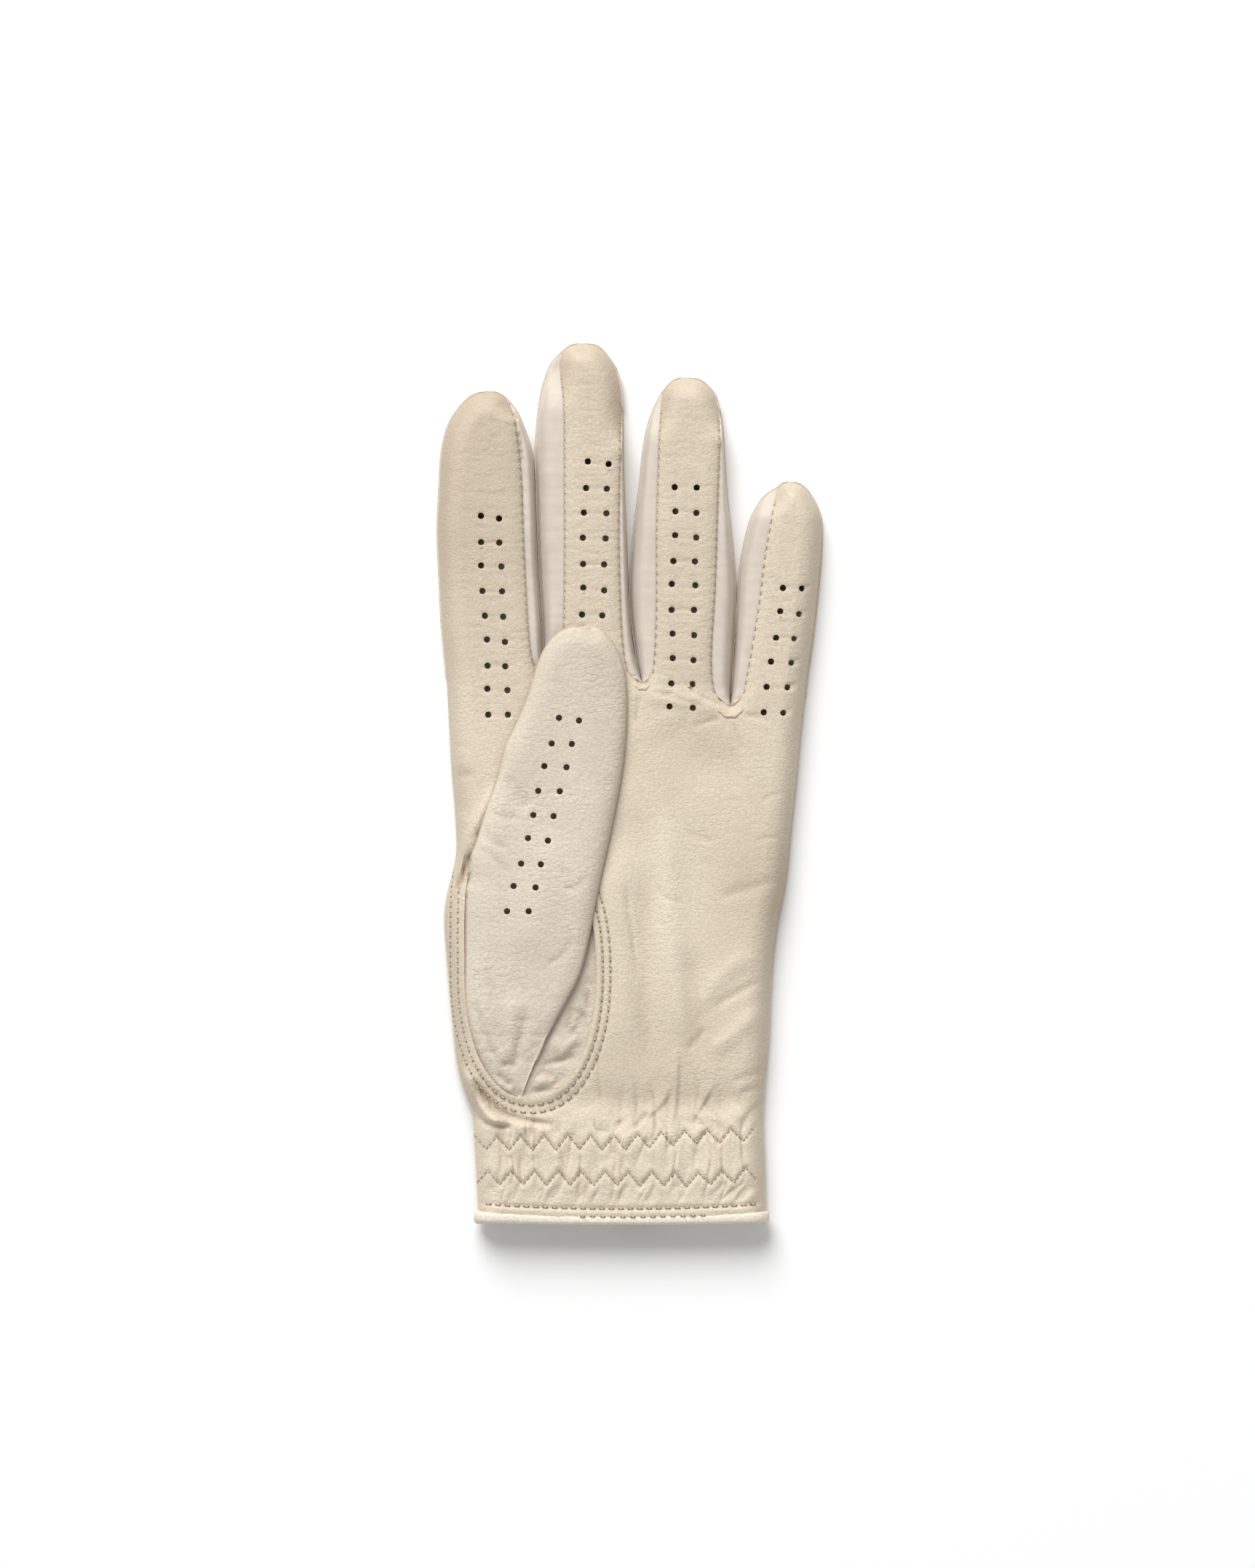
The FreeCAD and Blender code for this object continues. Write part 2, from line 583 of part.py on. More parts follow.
main()
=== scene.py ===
import math

import bmesh
import bpy
import numpy as np
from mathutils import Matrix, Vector


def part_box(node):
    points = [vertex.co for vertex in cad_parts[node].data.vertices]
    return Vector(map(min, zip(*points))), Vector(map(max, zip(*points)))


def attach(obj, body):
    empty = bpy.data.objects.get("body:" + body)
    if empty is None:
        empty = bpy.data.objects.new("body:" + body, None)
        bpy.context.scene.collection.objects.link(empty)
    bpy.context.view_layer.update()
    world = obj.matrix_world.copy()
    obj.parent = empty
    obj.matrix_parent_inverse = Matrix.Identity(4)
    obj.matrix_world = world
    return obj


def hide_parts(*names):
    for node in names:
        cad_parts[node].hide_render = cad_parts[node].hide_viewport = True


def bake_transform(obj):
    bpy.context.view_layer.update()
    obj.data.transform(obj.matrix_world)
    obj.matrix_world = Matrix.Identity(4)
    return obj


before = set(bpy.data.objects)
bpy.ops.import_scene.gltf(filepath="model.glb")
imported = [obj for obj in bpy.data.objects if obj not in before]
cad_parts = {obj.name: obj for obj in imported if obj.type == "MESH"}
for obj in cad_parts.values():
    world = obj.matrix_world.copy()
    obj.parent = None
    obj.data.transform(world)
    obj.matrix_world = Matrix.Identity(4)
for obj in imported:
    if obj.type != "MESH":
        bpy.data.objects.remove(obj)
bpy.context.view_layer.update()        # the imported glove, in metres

bl_info = {
    "name": "Golf glove",
    "version": (1, 0, 0),
    "blender": (4, 5, 0),
    "location": "View3D > Sidebar > Glove",
    "description": "Builds a left-hand leather golf glove, lying palm up with its thumb folded over the palm",
    "category": "Object",
}

MM = 0.001
# Shapes below are drawn in millimetres, X across the hand and Y up from the hem.
hem_low, hem_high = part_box("cuff_binding")
HEM_LEFT = -39.8                 # the thumb-side end of the hem in the drawing
OFFSET_X = hem_low[0] / MM - HEM_LEFT
OFFSET_Y = hem_low[1] / MM
FRONT_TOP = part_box("palm_panel")[1][2] / MM
EDGE_HEIGHT = 0.95               # where the front leather meets the back leather

# ---- the pattern: edges and seams, from the hem to the fingertips ----------------------------
PALM_LEFT = [(-39.7, 0), (-40.2, 12), (-40.9, 24), (-41.2, 29), (-43.5, 35), (-45.4, 42.5), (-46.6, 54),
             (-47.9, 68), (-48.6, 79), (-48.1, 85), (-46.4, 92), (-45.4, 98), (-45.8, 108), (-46.9, 122)]
PALM_RIGHT = [(35.4, 0), (35.2, 14), (34.7, 28), (35.3, 38), (36.3, 50), (37.0, 64), (38.6, 78), (40.9, 90),
              (42.5, 106), (43.8, 118), (44.7, 128)]
CROTCHES = [(-22.5, 142.0), (3.2, 141.4), (26.2, 135.3)]
# For each finger: the line where the front leather ends on the left and on the right, both from
# the foot of the finger to the top of its tip.
FRONT_LINES = {
    "index": (
        [(-48.0, 143.3), (-49.2, 156.4), (-49.9, 171), (-50.3, 181), (-49.9, 191), (-49.2, 202),
         (-47.2, 209.5), (-43.6, 214.6), (-40.4, 216.9), (-37.0, 217.5)],
        [(-22.5, 142), (-25.3, 147.5), (-26.4, 157), (-27.5, 178), (-28.2, 196), (-29.7, 209), (-31.0, 213.6),
         (-33.2, 216.4), (-35.0, 217.3), (-37.0, 217.5)]),
    "middle": (
        [(-22.5, 142), (-19.2, 147), (-17.8, 155), (-17.4, 170), (-17.4, 190), (-17.5, 212), (-18.5, 223),
         (-17.6, 227.6), (-15.4, 229.6), (-12.4, 230)],
        [(3.2, 141.4), (-0.4, 144.5), (-1.7, 152), (-2.3, 163), (-2.7, 180), (-2.4, 200), (-2.2, 216),
         (-4.1, 224.4), (-8.2, 229.2), (-12.4, 230)]),
    "ring": (
        [(3.2, 141.4), (5.6, 144), (6.3, 152), (6.6, 165), (6.6, 182), (7.3, 204), (7.9, 214),
         (9.3, 218.4), (12.0, 220.7), (15.0, 221)],
        [(26.2, 135.3), (22.3, 139), (21.4, 148), (22.4, 167), (23.0, 186), (23.5, 203), (23.4, 212),
         (21.8, 217.4), (18.4, 220.5), (15.0, 221)]),
    "little": (
        [(26.2, 135.3), (29.3, 138.6), (31.2, 149), (33.3, 162), (34.8, 174), (36.6, 184.5), (37.8, 190),
         (38.9, 192.4), (40.2, 193.6), (41.9, 193.8)],
        [(45.9, 138.6), (46.3, 143), (47.6, 152), (48.9, 163), (49.9, 174), (50.1, 182.5), (49.1, 187.2),
         (46.6, 191.4), (44.2, 193.4), (41.9, 193.8)]),
}
# The outer edge of each fourchette, where it meets the back leather.
FOOT_LINES = {
    ("index", "right"): [(-22.5, 142), (-23.2, 156), (-24.4, 173), (-25.0, 190), (-25.7, 201), (-27.4, 207),
                         (-29.4, 212), (-31.4, 214.6)],
    ("middle", "left"): [(-22.5, 142), (-22.7, 156), (-23.8, 173), (-24.4, 190), (-24.7, 201), (-24.2, 209.5),
                         (-23.1, 217.5), (-20.8, 224.4), (-18.2, 227.4)],
    ("middle", "right"): [(3.2, 141.4), (0.8, 150), (-0.5, 163), (-1.1, 180), (-1.8, 196), (-2.0, 208),
                          (-2.3, 216), (-3.4, 222.4)],
    ("ring", "left"): [(3.2, 141.4), (1.6, 149), (0.0, 163), (0.6, 176), (1.5, 185), (2.7, 194), (3.6, 203),
                       (5.1, 210), (7.0, 214.6), (9.0, 218)],
    ("ring", "right"): [(26.2, 135.3), (26.9, 148), (27.6, 162), (27.4, 170), (26.3, 182), (25.2, 191),
                        (24.6, 201), (24.0, 209), (22.8, 215)],
    ("little", "left"): [(26.2, 135.3), (27.5, 148), (28.1, 162), (29.1, 173), (31.2, 183), (33.8, 188.4),
                         (36.2, 191), (38.9, 192.6)],
}
FOLD_AT = {"index": 169.0, "middle": 174.0, "ring": 170.0, "little": 156.0}
PUNCH_ROWS = {   # foot, head, rows, distance apart
    "index": ((-34.2, 133.2), (-36.7, 184.7), 9, 4.9),
    "middle": ((-10.6, 139.6), (-8.5, 198.9), 10, 5.6),
    "ring": ((13.4, 135.0), (14.6, 192.5), 10, 5.7),
    "little": ((37.5, 133.8), (42.4, 166.3), 6, 5.1),
    "thumb": ((-29.0, 82.0), (-16.1, 132.0), 9, 5.4),
}
NAMES = ["index", "middle", "ring", "little"]

OVAL = (-26.0, 66.0, 17.2, 33.0, 2.2)     # middle, half width, half length, squareness
OVAL_LEFT = 5.0                  # its squareness at the upper left
THUMB_PIVOT = (-28.3, 70.6)
THUMB_LEAN = math.radians(11.9)
THUMB_FOLD = 45.0                # from the pivot
THUMB_SPLIT = 33.6
THUMB_LEFT = [(-42.9, 90), (-41.7, 95.8), (-40.2, 99.6), (-38.2, 106.5), (-36.4, 111.7), (-34.4, 117.3),
              (-32.6, 124.9), (-31.1, 128), (-27.5, 136), (-24.6, 145), (-22.6, 150), (-19.6, 153.8),
              (-16.2, 155.7), (-12.9, 156)]     # free edge, above the oval
THUMB_RIGHT = [(-28.6, 31.8), (-27.6, 34.6), (-26.6, 37.4), (-24.8, 42), (-22.0, 48.4), (-17.6, 56.6),
               (-13.2, 65.2), (-10.6, 75), (-8.0, 88), (-4.5, 104.4), (-2.0, 118), (-0.8, 130),
               (-0.9, 141), (-2.2, 147.6), (-5.2, 152.8), (-8.8, 155.4), (-12.9, 156)]
# For each zigzag: the middle of the line above the hem, its first point, and whether that one is a peak.
ZIGZAGS = [([(-40, 21.5), (-20, 21.5), (-3, 21.8), (12, 22.7), (24, 23.4), (36, 24.3)], -40.7, True),
           ([(-40, 12.5), (-5, 12.1), (15, 12.0), (25, 12.6), (36, 13.6)], -40.1, False)]
SEAM_ROWS = (1.75, 3.7)          # the two rows of stitches round the oval, outside its leather edge
SEAM_TOP = 92.5                  # the rows show only below this
SLIT = (2.0, 10.0, 62.0)         # middle, width at the hem, length
BACK_LIFT = 1.8                  # how much higher the back leather lies over the closure
HEM_Y = 1.4                      # the lower edge of the front leather, inside the binding
PALM_Y = 139                     # the rows of the palm are spaced as if it ended here

# The stage, in metres.
FLOOR_REACH = 6.0
FLOOR_LEVEL = -0.0002
CAMERA_X = -0.0005
CAMERA_HEIGHT = 2.6
VIEW_LEVEL = 0.008               # the height at which the picture is VIEW_WIDTH wide
VIEW_WIDTH = 0.40915
SENSOR_WIDTH = 36                # in millimetres, as Blender counts it


# ---- settings ------------------------------------------------------------------------------------
def colour(name, text, value):
    return bpy.props.FloatVectorProperty(name=name, description=text, subtype="COLOR", size=4, min=0, max=1,
                                         default=(*value, 1.0))


def length(name, text, value):
    return bpy.props.FloatProperty(name=name, description=text, subtype="DISTANCE", unit="LENGTH",
                                   default=value * MM, min=0.0)


class GloveSizes(bpy.types.PropertyGroup):
    leather: length("Leather", "Thickness of the leather panels", 0.7)
    spacing: length("Mesh spacing", "Distance between the points of a leather panel", 0.5)
    edge_roll: length("Edge roll", "Radius over which the front leather rolls down at the outer edges", 6.5)
    seam_roll: length("Seam roll", "Radius over which the front leather dips to the finger seams", 4.2)
    seam_dip: length("Seam dip", "How far the finger seams lie below the top of a finger", 2.0)
    punch: length("Punched hole", "Radius of the ventilation holes", 0.84)
    stitch: length("Stitch", "Length of one stitch of the thumb seam", 1.5)
    stitch_pitch: length("Stitch pitch", "Distance from one stitch to the next", 2.6)
    thread: length("Thread", "Radius of the sewing thread", 0.2)
    zigzag_pitch: length("Zigzag pitch", "Width of one point of the zigzag stitches", 6.1)
    zigzag_height: length("Zigzag height", "Height of the zigzag stitches", 3.7)


class GloveColours(bpy.types.PropertyGroup):
    palm: colour("Palm leather", "Colour of the palm and finger leather", (0.768, 0.674, 0.540))
    thumb: colour("Thumb leather", "Colour of the thumb leather", (0.702, 0.622, 0.512))
    back: colour("Back leather", "Colour of the leather on the back of the hand", (0.75, 0.66, 0.53))
    raw_edge: colour("Raw edge", "Colour of a cut edge of leather", (0.50, 0.38, 0.25))
    fourchette: colour("Fourchette", "Colour of the side walls of the fingers", (0.645, 0.578, 0.500))
    binding: colour("Binding", "Colour of the folded binding at the hem", (0.85, 0.775, 0.66))
    thread: colour("Thread", "Colour of the sewing thread", (0.66, 0.57, 0.45))
    elastic: colour("Elastic", "Colour of the elastic tape in the cuff", (0.62, 0.58, 0.50))
    tape: colour("Hook and loop", "Colour of the closure's hook and loop tape", (0.66, 0.62, 0.54))
    floor: colour("Floor", "Colour of the floor", (0.95, 0.95, 0.95))


def sizes():
    return bpy.context.scene.glove_sizes


def colours():
    return bpy.context.scene.glove_colours


# ---- lines and heights -----------------------------------------------------------------------------
def curve_through(points, step=1.0):
    """Points a step apart on a smooth curve through a few given ones."""
    p = np.array(points, float)
    p = np.vstack([2 * p[0] - p[1], p, 2 * p[-1] - p[-2]])
    spans = []
    for a, b, c, d in zip(p, p[1:], p[2:], p[3:]):
        t = np.linspace(0, 1, max(3, int(np.linalg.norm(c - b) / step)), endpoint=False)[:, None]
        spans.append(0.5 * (2 * b + (c - a) * t + (2 * a - 5 * b + 4 * c - d) * t ** 2
                            + (3 * b - a - 3 * c + d) * t ** 3))
    return np.vstack(spans + [p[-2:-1]])


def tip_edges(left, right, step=0.4):
    """The two edges of a finger, each from its foot to the top of its tip, from one curve over the tip."""
    line = curve_through(list(left) + list(right)[::-1][1:], step)
    top = int(np.argmax(line[:, 1]))
    halves = line[:top + 1], line[top:][::-1]
    return [np.column_stack([p[:, 0], np.maximum.accumulate(p[:, 1])]) for p in halves]


def nearest(x, y, line):
    """For each point: how far it is from a line, how far along the line its nearest spot is, from 0 to 1,
    and which side of the line it is on, 1 for the left as one walks along it and -1 for the right."""
    best = np.full(np.shape(x), 1e9)
    along = np.zeros(np.shape(x))
    side = np.ones(np.shape(x))
    count = len(line) - 1
    for k in range(count):
        a, d = line[k], line[k + 1] - line[k]
        t = np.clip(((x - a[0]) * d[0] + (y - a[1]) * d[1]) / (d @ d + 1e-12), 0, 1)
        away = np.hypot(x - a[0] - t * d[0], y - a[1] - t * d[1])
        closer = away < best
        best = np.where(closer, away, best)
        along = np.where(closer, (k + t) / count, along)
        side = np.where(closer, np.sign(d[0] * (y - a[1]) - d[1] * (x - a[0])), side)
    return best, along, side


def away_from(x, y, line):
    return nearest(x, y, line)[0]


def rounded(t):
    """A quarter circle: 0 at t = 0, where it is steep, and 1 from t = 1, where it is flat."""
    t = np.clip(t, 0, 1)
    return np.sqrt(1 - (1 - t) ** 2)


def ease(t):
    t = np.clip(t, 0, 1)
    return t * t * (3 - 2 * t)


def noise(x, y, seed):
    """Smooth noise between 0 and 1 with one bump per unit, the same on every run."""
    ix, iy = np.floor(x).astype(np.int64), np.floor(y).astype(np.int64)
    fx, fy = ease(x - ix), ease(y - iy)

    def corner(dx, dy):
        n = (ix + dx) * 374761393 + (iy + dy) * 668265263 + seed * 974634777
        n = (n ^ (n >> 13)) * 1274126177
        n = n ^ (n >> 16)
        return (n & 0xFFFF) / 65535.0

    low = corner(0, 0) * (1 - fx) + corner(1, 0) * fx
    high = corner(0, 1) * (1 - fx) + corner(1, 1) * fx
    return low * (1 - fy) + high * fy


def wrinkles(x, y, seed, sharpness=3.0):
    """Narrow valleys that wander, one or two to a unit: 0 between them and -1 at their bottoms."""
    n = 0.65 * noise(x, y, seed) + 0.35 * noise(2.1 * x, 2.1 * y, seed + 7)
    return -np.clip(1 - np.abs(2 * n - 1) * sharpness, 0, 1) ** 1.5


def near_path(x, y, path, reach):
    """The points within reach of a path's own box, as a mask."""
    p = np.array(path, float)
    low, high = p.min(axis=0) - reach, p.max(axis=0) + reach
    return (x > low[0]) & (x < high[0]) & (y > low[1]) & (y < high[1])


def fold(x, y, path, width, height, taper=0.25):
    """A soft ridge, or with a negative height a valley, along a path. It fades out at both ends."""
    z = np.zeros(np.shape(x))
    close = near_path(x, y, path, 3 * width)
    if np.any(close):
        away, along, _ = nearest(x[close], y[close], curve_through(path, 3.0))
        fade = ease(along / taper) * ease((1 - along) / taper)
        z[close] = height * fade * np.exp(-(away / width) ** 2)
    return z


def lap(x, y, path, width, height, taper=0.3):
    """Leather lapping over itself: it swells up to the path from its left side and drops off on its right."""
    z = np.zeros(np.shape(x))
    close = near_path(x, y, path, 3 * width)
    if np.any(close):
        away, along, side = nearest(x[close], y[close], curve_through(path, 2.0))
        fade = ease(along / taper) * ease((1 - along) / taper)
        swell = np.exp(-(away / width) ** 2)
        drop = 0.25 * np.exp(-(away / (0.5 * width)) ** 2) * np.clip(away / 0.5, 0, 1)
        z[close] = height * fade * np.where(side > 0, swell, np.exp(-(away / 0.55) ** 2) - drop)
    return z


def with_folds(z, x, y, table):
    """Heights with the folds of a table of (path, width, height) added."""
    for path, width, height in table:
        z = z + fold(x, y, path, width, height)
    return z


def bump_at(x, y, place, width, height):
    return height * np.exp(-((x - place[0]) ** 2 + (y - place[1]) ** 2) / width ** 2)


def oval_power(x, y):
    """How square the thumb's oval is: it runs straight up on its left, towards the index finger."""
    return np.where((x < OVAL[0]) & (y > OVAL[1]), OVAL_LEFT, OVAL[4])


def oval_line(grow, count=240):
    """The oval that the thumb is set into, grown outwards."""
    cx, cy, a, b, _ = OVAL
    turn = np.linspace(0, 2 * np.pi, count, endpoint=False)
    c, s = np.cos(turn), np.sin(turn)
    n = oval_power(cx + c, cy + s)
    x = cx + (a + grow) * np.sign(c) * np.abs(c) ** (2 / n)
    y = cy + (b + grow) * np.sign(s) * np.abs(s) ** (2 / n)
    return np.column_stack([x, y])


def oval_level(x, y, grow=0.0):
    """1 on the oval grown by that much, less inside it and more outside."""
    cx, cy, a, b, _ = OVAL
    n = oval_power(x, y)
    return (np.abs((x - cx) / (a + grow)) ** n + np.abs((y - cy) / (b + grow)) ** n) ** (1 / n)


def oval_sides(y, grow):
    """Where the grown oval's left and right sides are at each height."""
    cx, cy, a, b, _ = OVAL
    high = np.clip(np.abs((y - cy) / (b + grow)), 0, 1)
    left, right = oval_power(cx - 1, y), OVAL[4]
    reach = a + grow
    return cx - reach * (1 - high ** left) ** (1 / left), cx + reach * (1 - high ** right) ** (1 / right)


def zigzag_line(which):
    """The corners of a zigzag of stitches across the cuff."""
    middle, start, peak = ZIGZAGS[which]
    pitch, high = sizes().zigzag_pitch / MM, sizes().zigzag_height / MM
    line = curve_through(middle, 3.0)
    x = np.arange(start, PALM_RIGHT[0][0] - 0.6, pitch / 2)
    up = np.where((np.arange(len(x)) % 2 == 0) == peak, 0.5, -0.5)
    wander = 0.35 * (noise(x * 0.9, 0 * x, 21 + which) - 0.5)
    return np.column_stack([x + wander, np.interp(x, line[:, 0], line[:, 1]) + (up + 0.5 * wander) * high])


def sag(x):
    """How much higher the hem is at its ends than in the middle, as a share."""
    return ((x + 2.0) / 37.5) ** 2


def binding_top(x):
    return 2.1 + 1.3 * sag(x)


def hem_row(x):
    """The row of stitches above the binding."""
    return 4.3 + 1.3 * sag(x)


class Outline:
    """The front leather's outer edges and finger seams, worked out once."""

    def __init__(self):
        index_left, index_right = FRONT_LINES["index"]
        little_left, little_right = FRONT_LINES["little"]
        self.left_edge = curve_through(PALM_LEFT + index_left[:-3], 1.5)
        self.right_edge = curve_through(PALM_RIGHT + little_right[:-3], 1.5)
        left_outer = PALM_LEFT + index_left + index_right[:-6:-1][1:]
        right_outer = PALM_RIGHT + little_right + little_left[:-6:-1][1:]
        # Each line comes with two ranges of y, one for the side that goes up and one for the side that
        # comes down: the roll grows from nothing to full over them, and None is full from end to end.
        self.outer = [(curve_through(left_outer, 1.0), None, (209.0, 214.2)),
                      (curve_through(right_outer, 1.0), None, (184.5, 192.0))]
        for name, rising, falling in (("middle", (212.0, 225.0), (200.0, 214.0)),
                                      ("ring", (204.0, 217.0), (203.0, 214.6))):
            left, right = FRONT_LINES[name]
            self.outer.append((curve_through(left[-5:] + right[-5:][::-1][1:], 0.7), rising, falling))
        self.seams = []
        for a, b in zip(NAMES, NAMES[1:]):
            down = FRONT_LINES[a][1][:-4][::-1]
            up = FRONT_LINES[b][0][:-3]
            self.seams.append(curve_through(down + up[1:], 1.5))
        self.thumb_left = curve_through(THUMB_LEFT)
        self.thumb_right = curve_through(THUMB_RIGHT)

    def left(self, y):
        return np.interp(y, self.left_edge[:, 1], self.left_edge[:, 0])

    def right(self, y):
        return np.interp(y, self.right_edge[:, 1], self.right_edge[:, 0])

    def under_thumb(self, x, y):
        """1 where the thumb lies on the leather, 0 away from it."""
        inside = np.minimum(x - np.interp(y, self.thumb_left[:, 1], self.thumb_left[:, 0]),
                            np.interp(y, self.thumb_right[:, 1], self.thumb_right[:, 0]) - x)
        return ease(inside / 3.0) * ((y > 88) & (y < 155))


OUTLINE = Outline()

# The folds and creases of the palm: path, width, height.
SOFT_FOLDS = [
    ([(-2, 40), (-2, 60), (-4, 82), (-1, 104)], 4.5, 0.9),
    ([(5.5, 36), (4, 56), (4, 74), (4.5, 96)], 2.6, -0.75),
    ([(13, 36), (13.5, 50), (11, 74), (9.5, 97), (6, 114)], 3.4, 0.95),
    ([(18, 40), (17, 54), (15, 74)], 3.0, -0.6), ([(20, 44), (27, 50), (35, 57)], 2.2, 0.5),
    ([(16, 55), (25, 66), (34, 72)], 2.6, 0.4), ([(22, 85), (31, 88), (40, 90)], 1.6, -0.3),
    ([(8, 133), (14, 125), (24, 120), (33, 121)], 6.5, -0.7),
    ([(-43.4, 121), (-43.6, 112), (-43.6, 105)], 2.6, -0.7),
    ([(-41, 128), (-38.5, 120), (-37, 116)], 2.0, 0.5), ([(30, 31), (26, 27.6), (23, 26)], 3.0, 0.6),
    ([(18, 27), (21, 30)], 3.0, 0.5), ([(-24, 26), (-31, 25.6), (-38, 26.6)], 1.9, 0.7),
    ([(-17, 28), (-10, 29.5), (-4, 29)], 3.0, 0.35),
    ([(3.2, 139), (8, 137.8), (14, 137), (21, 135.6), (26, 133.4)], 2.2, 0.45),
]
CREASES = [
    ([(-1.4, 90), (-0.4, 82), (0.6, 73.7), (2.2, 62.7)], 0.8, -0.4),
    ([(-8.6, 45), (-8.2, 38), (-7.4, 31)], 0.8, -0.45), ([(-2.0, 28), (-3.4, 25.4), (-4.9, 23)], 0.8, -0.7),
    ([(5.0, 29.6), (3.0, 27.6), (0.6, 24.4)], 0.7, -0.6),
    ([(20, 52), (17.4, 48.6), (14.4, 45)], 1.0, -0.35), ([(34.6, 64), (28, 60.6), (21, 56.4)], 1.1, -0.4),
    ([(34.5, 40), (30.5, 38.6), (26, 37.4)], 1.2, -0.4), ([(34.6, 35.6), (31.3, 35), (28, 34)], 0.9, -0.3),
    ([(13.0, 144.2), (15.0, 141), (17.2, 138.6)], 0.8, -0.3),
    ([(17.6, 138.4), (21.0, 136.6), (25.0, 135.6)], 0.7, -0.4),
    ([(7.5, 139), (11, 137.6), (15.6, 136.4), (21, 135.2)], 0.7, -0.35),
    ([(24, 132.4), (20, 131.2), (16, 129.8)], 0.7, -0.3),
    ([(29, 133.2), (33, 132.6), (37, 131.2)], 0.8, -0.3), ([(27, 131.4), (28, 127), (30, 123)], 0.8, -0.25),
    ([(2.6, 138.2), (1.6, 134.5), (1.4, 130)], 0.8, -0.3),
    ([(5, 139.4), (8.6, 138.6), (12, 138.8)], 0.6, -0.3),
    ([(33.6, 110), (37, 112), (40.6, 112.6)], 0.7, -0.2), ([(32, 100), (36, 101), (40, 100.6)], 0.7, -0.2),
    ([(-46.4, 116), (-43, 117.4), (-40, 117)], 0.8, -0.25),
    ([(-47, 126), (-43.6, 124.6), (-40, 125.4)], 0.8, -0.25),
    ([(14, 104), (18, 101), (23, 99.6)], 0.8, -0.18), ([(6, 88), (10, 85), (15, 84)], 0.8, -0.18),
]
EDGE_FOLDS = [
    ([(-42.6, 32.6), (-40.4, 29.4), (-37.6, 26.7), (-33.4, 25.7), (-29.4, 25.4)], 0.8, -1.4),
    ([(-41.8, 39), (-39.5, 35.4), (-36.3, 31.5), (-32.4, 29.0), (-27.8, 27.5), (-22.7, 26.6),
      (-18.5, 26.0)], 0.8, -1.5),
    ([(-47.6, 78), (-47.0, 85), (-45.5, 92), (-43.4, 97.6), (-40.4, 104), (-37.2, 110.6),
      (-34.8, 117)], 1.5, 1.7),
    ([(-41.0, 98.0), (-42.5, 94.0), (-44.0, 90.6), (-45.3, 87.0)], 0.7, -1.6),
]
THUMB_FOLDS = [
    ([(-38, 68), (-35, 54), (-33, 43)], 1.6, -0.6), ([(-41, 60), (-38, 50), (-34, 41)], 1.0, -0.5),
    ([(-30, 62), (-31, 51), (-32, 41)], 2.2, 0.7), ([(-26.5, 58), (-28.6, 48), (-30.6, 40)], 1.2, -0.5),
    ([(-33.6, 41.6), (-31.5, 42.0), (-29.6, 41.2)], 0.8, -0.5),
    ([(-34.6, 40), (-32.8, 37.6), (-30.4, 36.2)], 1.0, -0.7),
    ([(-19, 104), (-24, 86), (-28, 68)], 5.0, 0.7), ([(-38, 104), (-36, 100), (-31, 98)], 1.0, -0.35),
    ([(-39.6, 98), (-36, 96), (-31, 91)], 0.9, -0.3),
    ([(-36.6, 108), (-33, 106.4), (-27, 106)], 0.9, -0.3),
    ([(-33, 118), (-29.6, 112), (-26, 108)], 2.2, -0.5),
    ([(-14, 76), (-18, 70), (-22, 68)], 1.0, -0.3), ([(-10.6, 92), (-14, 88), (-18, 88)], 0.9, -0.3),
]
GUSSET_FOLDS = [
    ([(-32.5, 36.3), (-30.4, 34.6), (-26.3, 34.2), (-22.7, 35.0), (-18.6, 34.9), (-16.2, 37.7)], 0.9, -1.0),
    ([(-25.6, 36.4), (-22, 37.6), (-18.6, 37.4)], 1.5, 0.8),
    ([(-23.6, 41.8), (-19, 42.6), (-13.6, 44.6)], 0.8, -0.6),
    ([(-21.6, 40.6), (-19.6, 37.8), (-18.6, 36)], 0.7, -0.5),
    ([(-21.6, 50), (-18, 46), (-12.4, 50)], 1.8, 0.6),
    ([(-17, 47), (-12.6, 54), (-10.6, 62)], 0.9, -0.5),
    ([(-15.4, 58), (-12.6, 66), (-10.6, 78)], 1.2, -0.6),
]
LAPS = [
    ([(10.2, 24.2), (11.2, 28), (11.9, 33.5), (12.2, 40), (12.0, 48)], 2.4, 0.55),
    ([(15.7, 26.4), (17.0, 29), (19.6, 33), (22.5, 38)], 2.6, 0.6),
    ([(2.8, 27.0), (6.0, 29.6), (9.3, 33.3), (10.4, 38)], 2.2, 0.55),
    ([(28.3, 25.9), (30.0, 29.4), (33.0, 32.0), (36, 34)], 2.6, 0.6),
]


def punch_places(name):
    foot, head, rows, apart = PUNCH_ROWS[name]
    places = []
    for k in range(rows):
        t = k / (rows - 1)
        x, y = foot[0] + (head[0] - foot[0]) * t, foot[1] + (head[1] - foot[1]) * t
        stray = 0.32 * math.sin(5.1 * k + len(name)), 0.22 * math.sin(3.7 * k + 2 * len(name))
        places.append((x - apart / 2 + stray[0], y + stray[1]))
        places.append((x + apart / 2 + 0.6 * stray[1], y - 0.3 - stray[0] * 0.6))
    return places


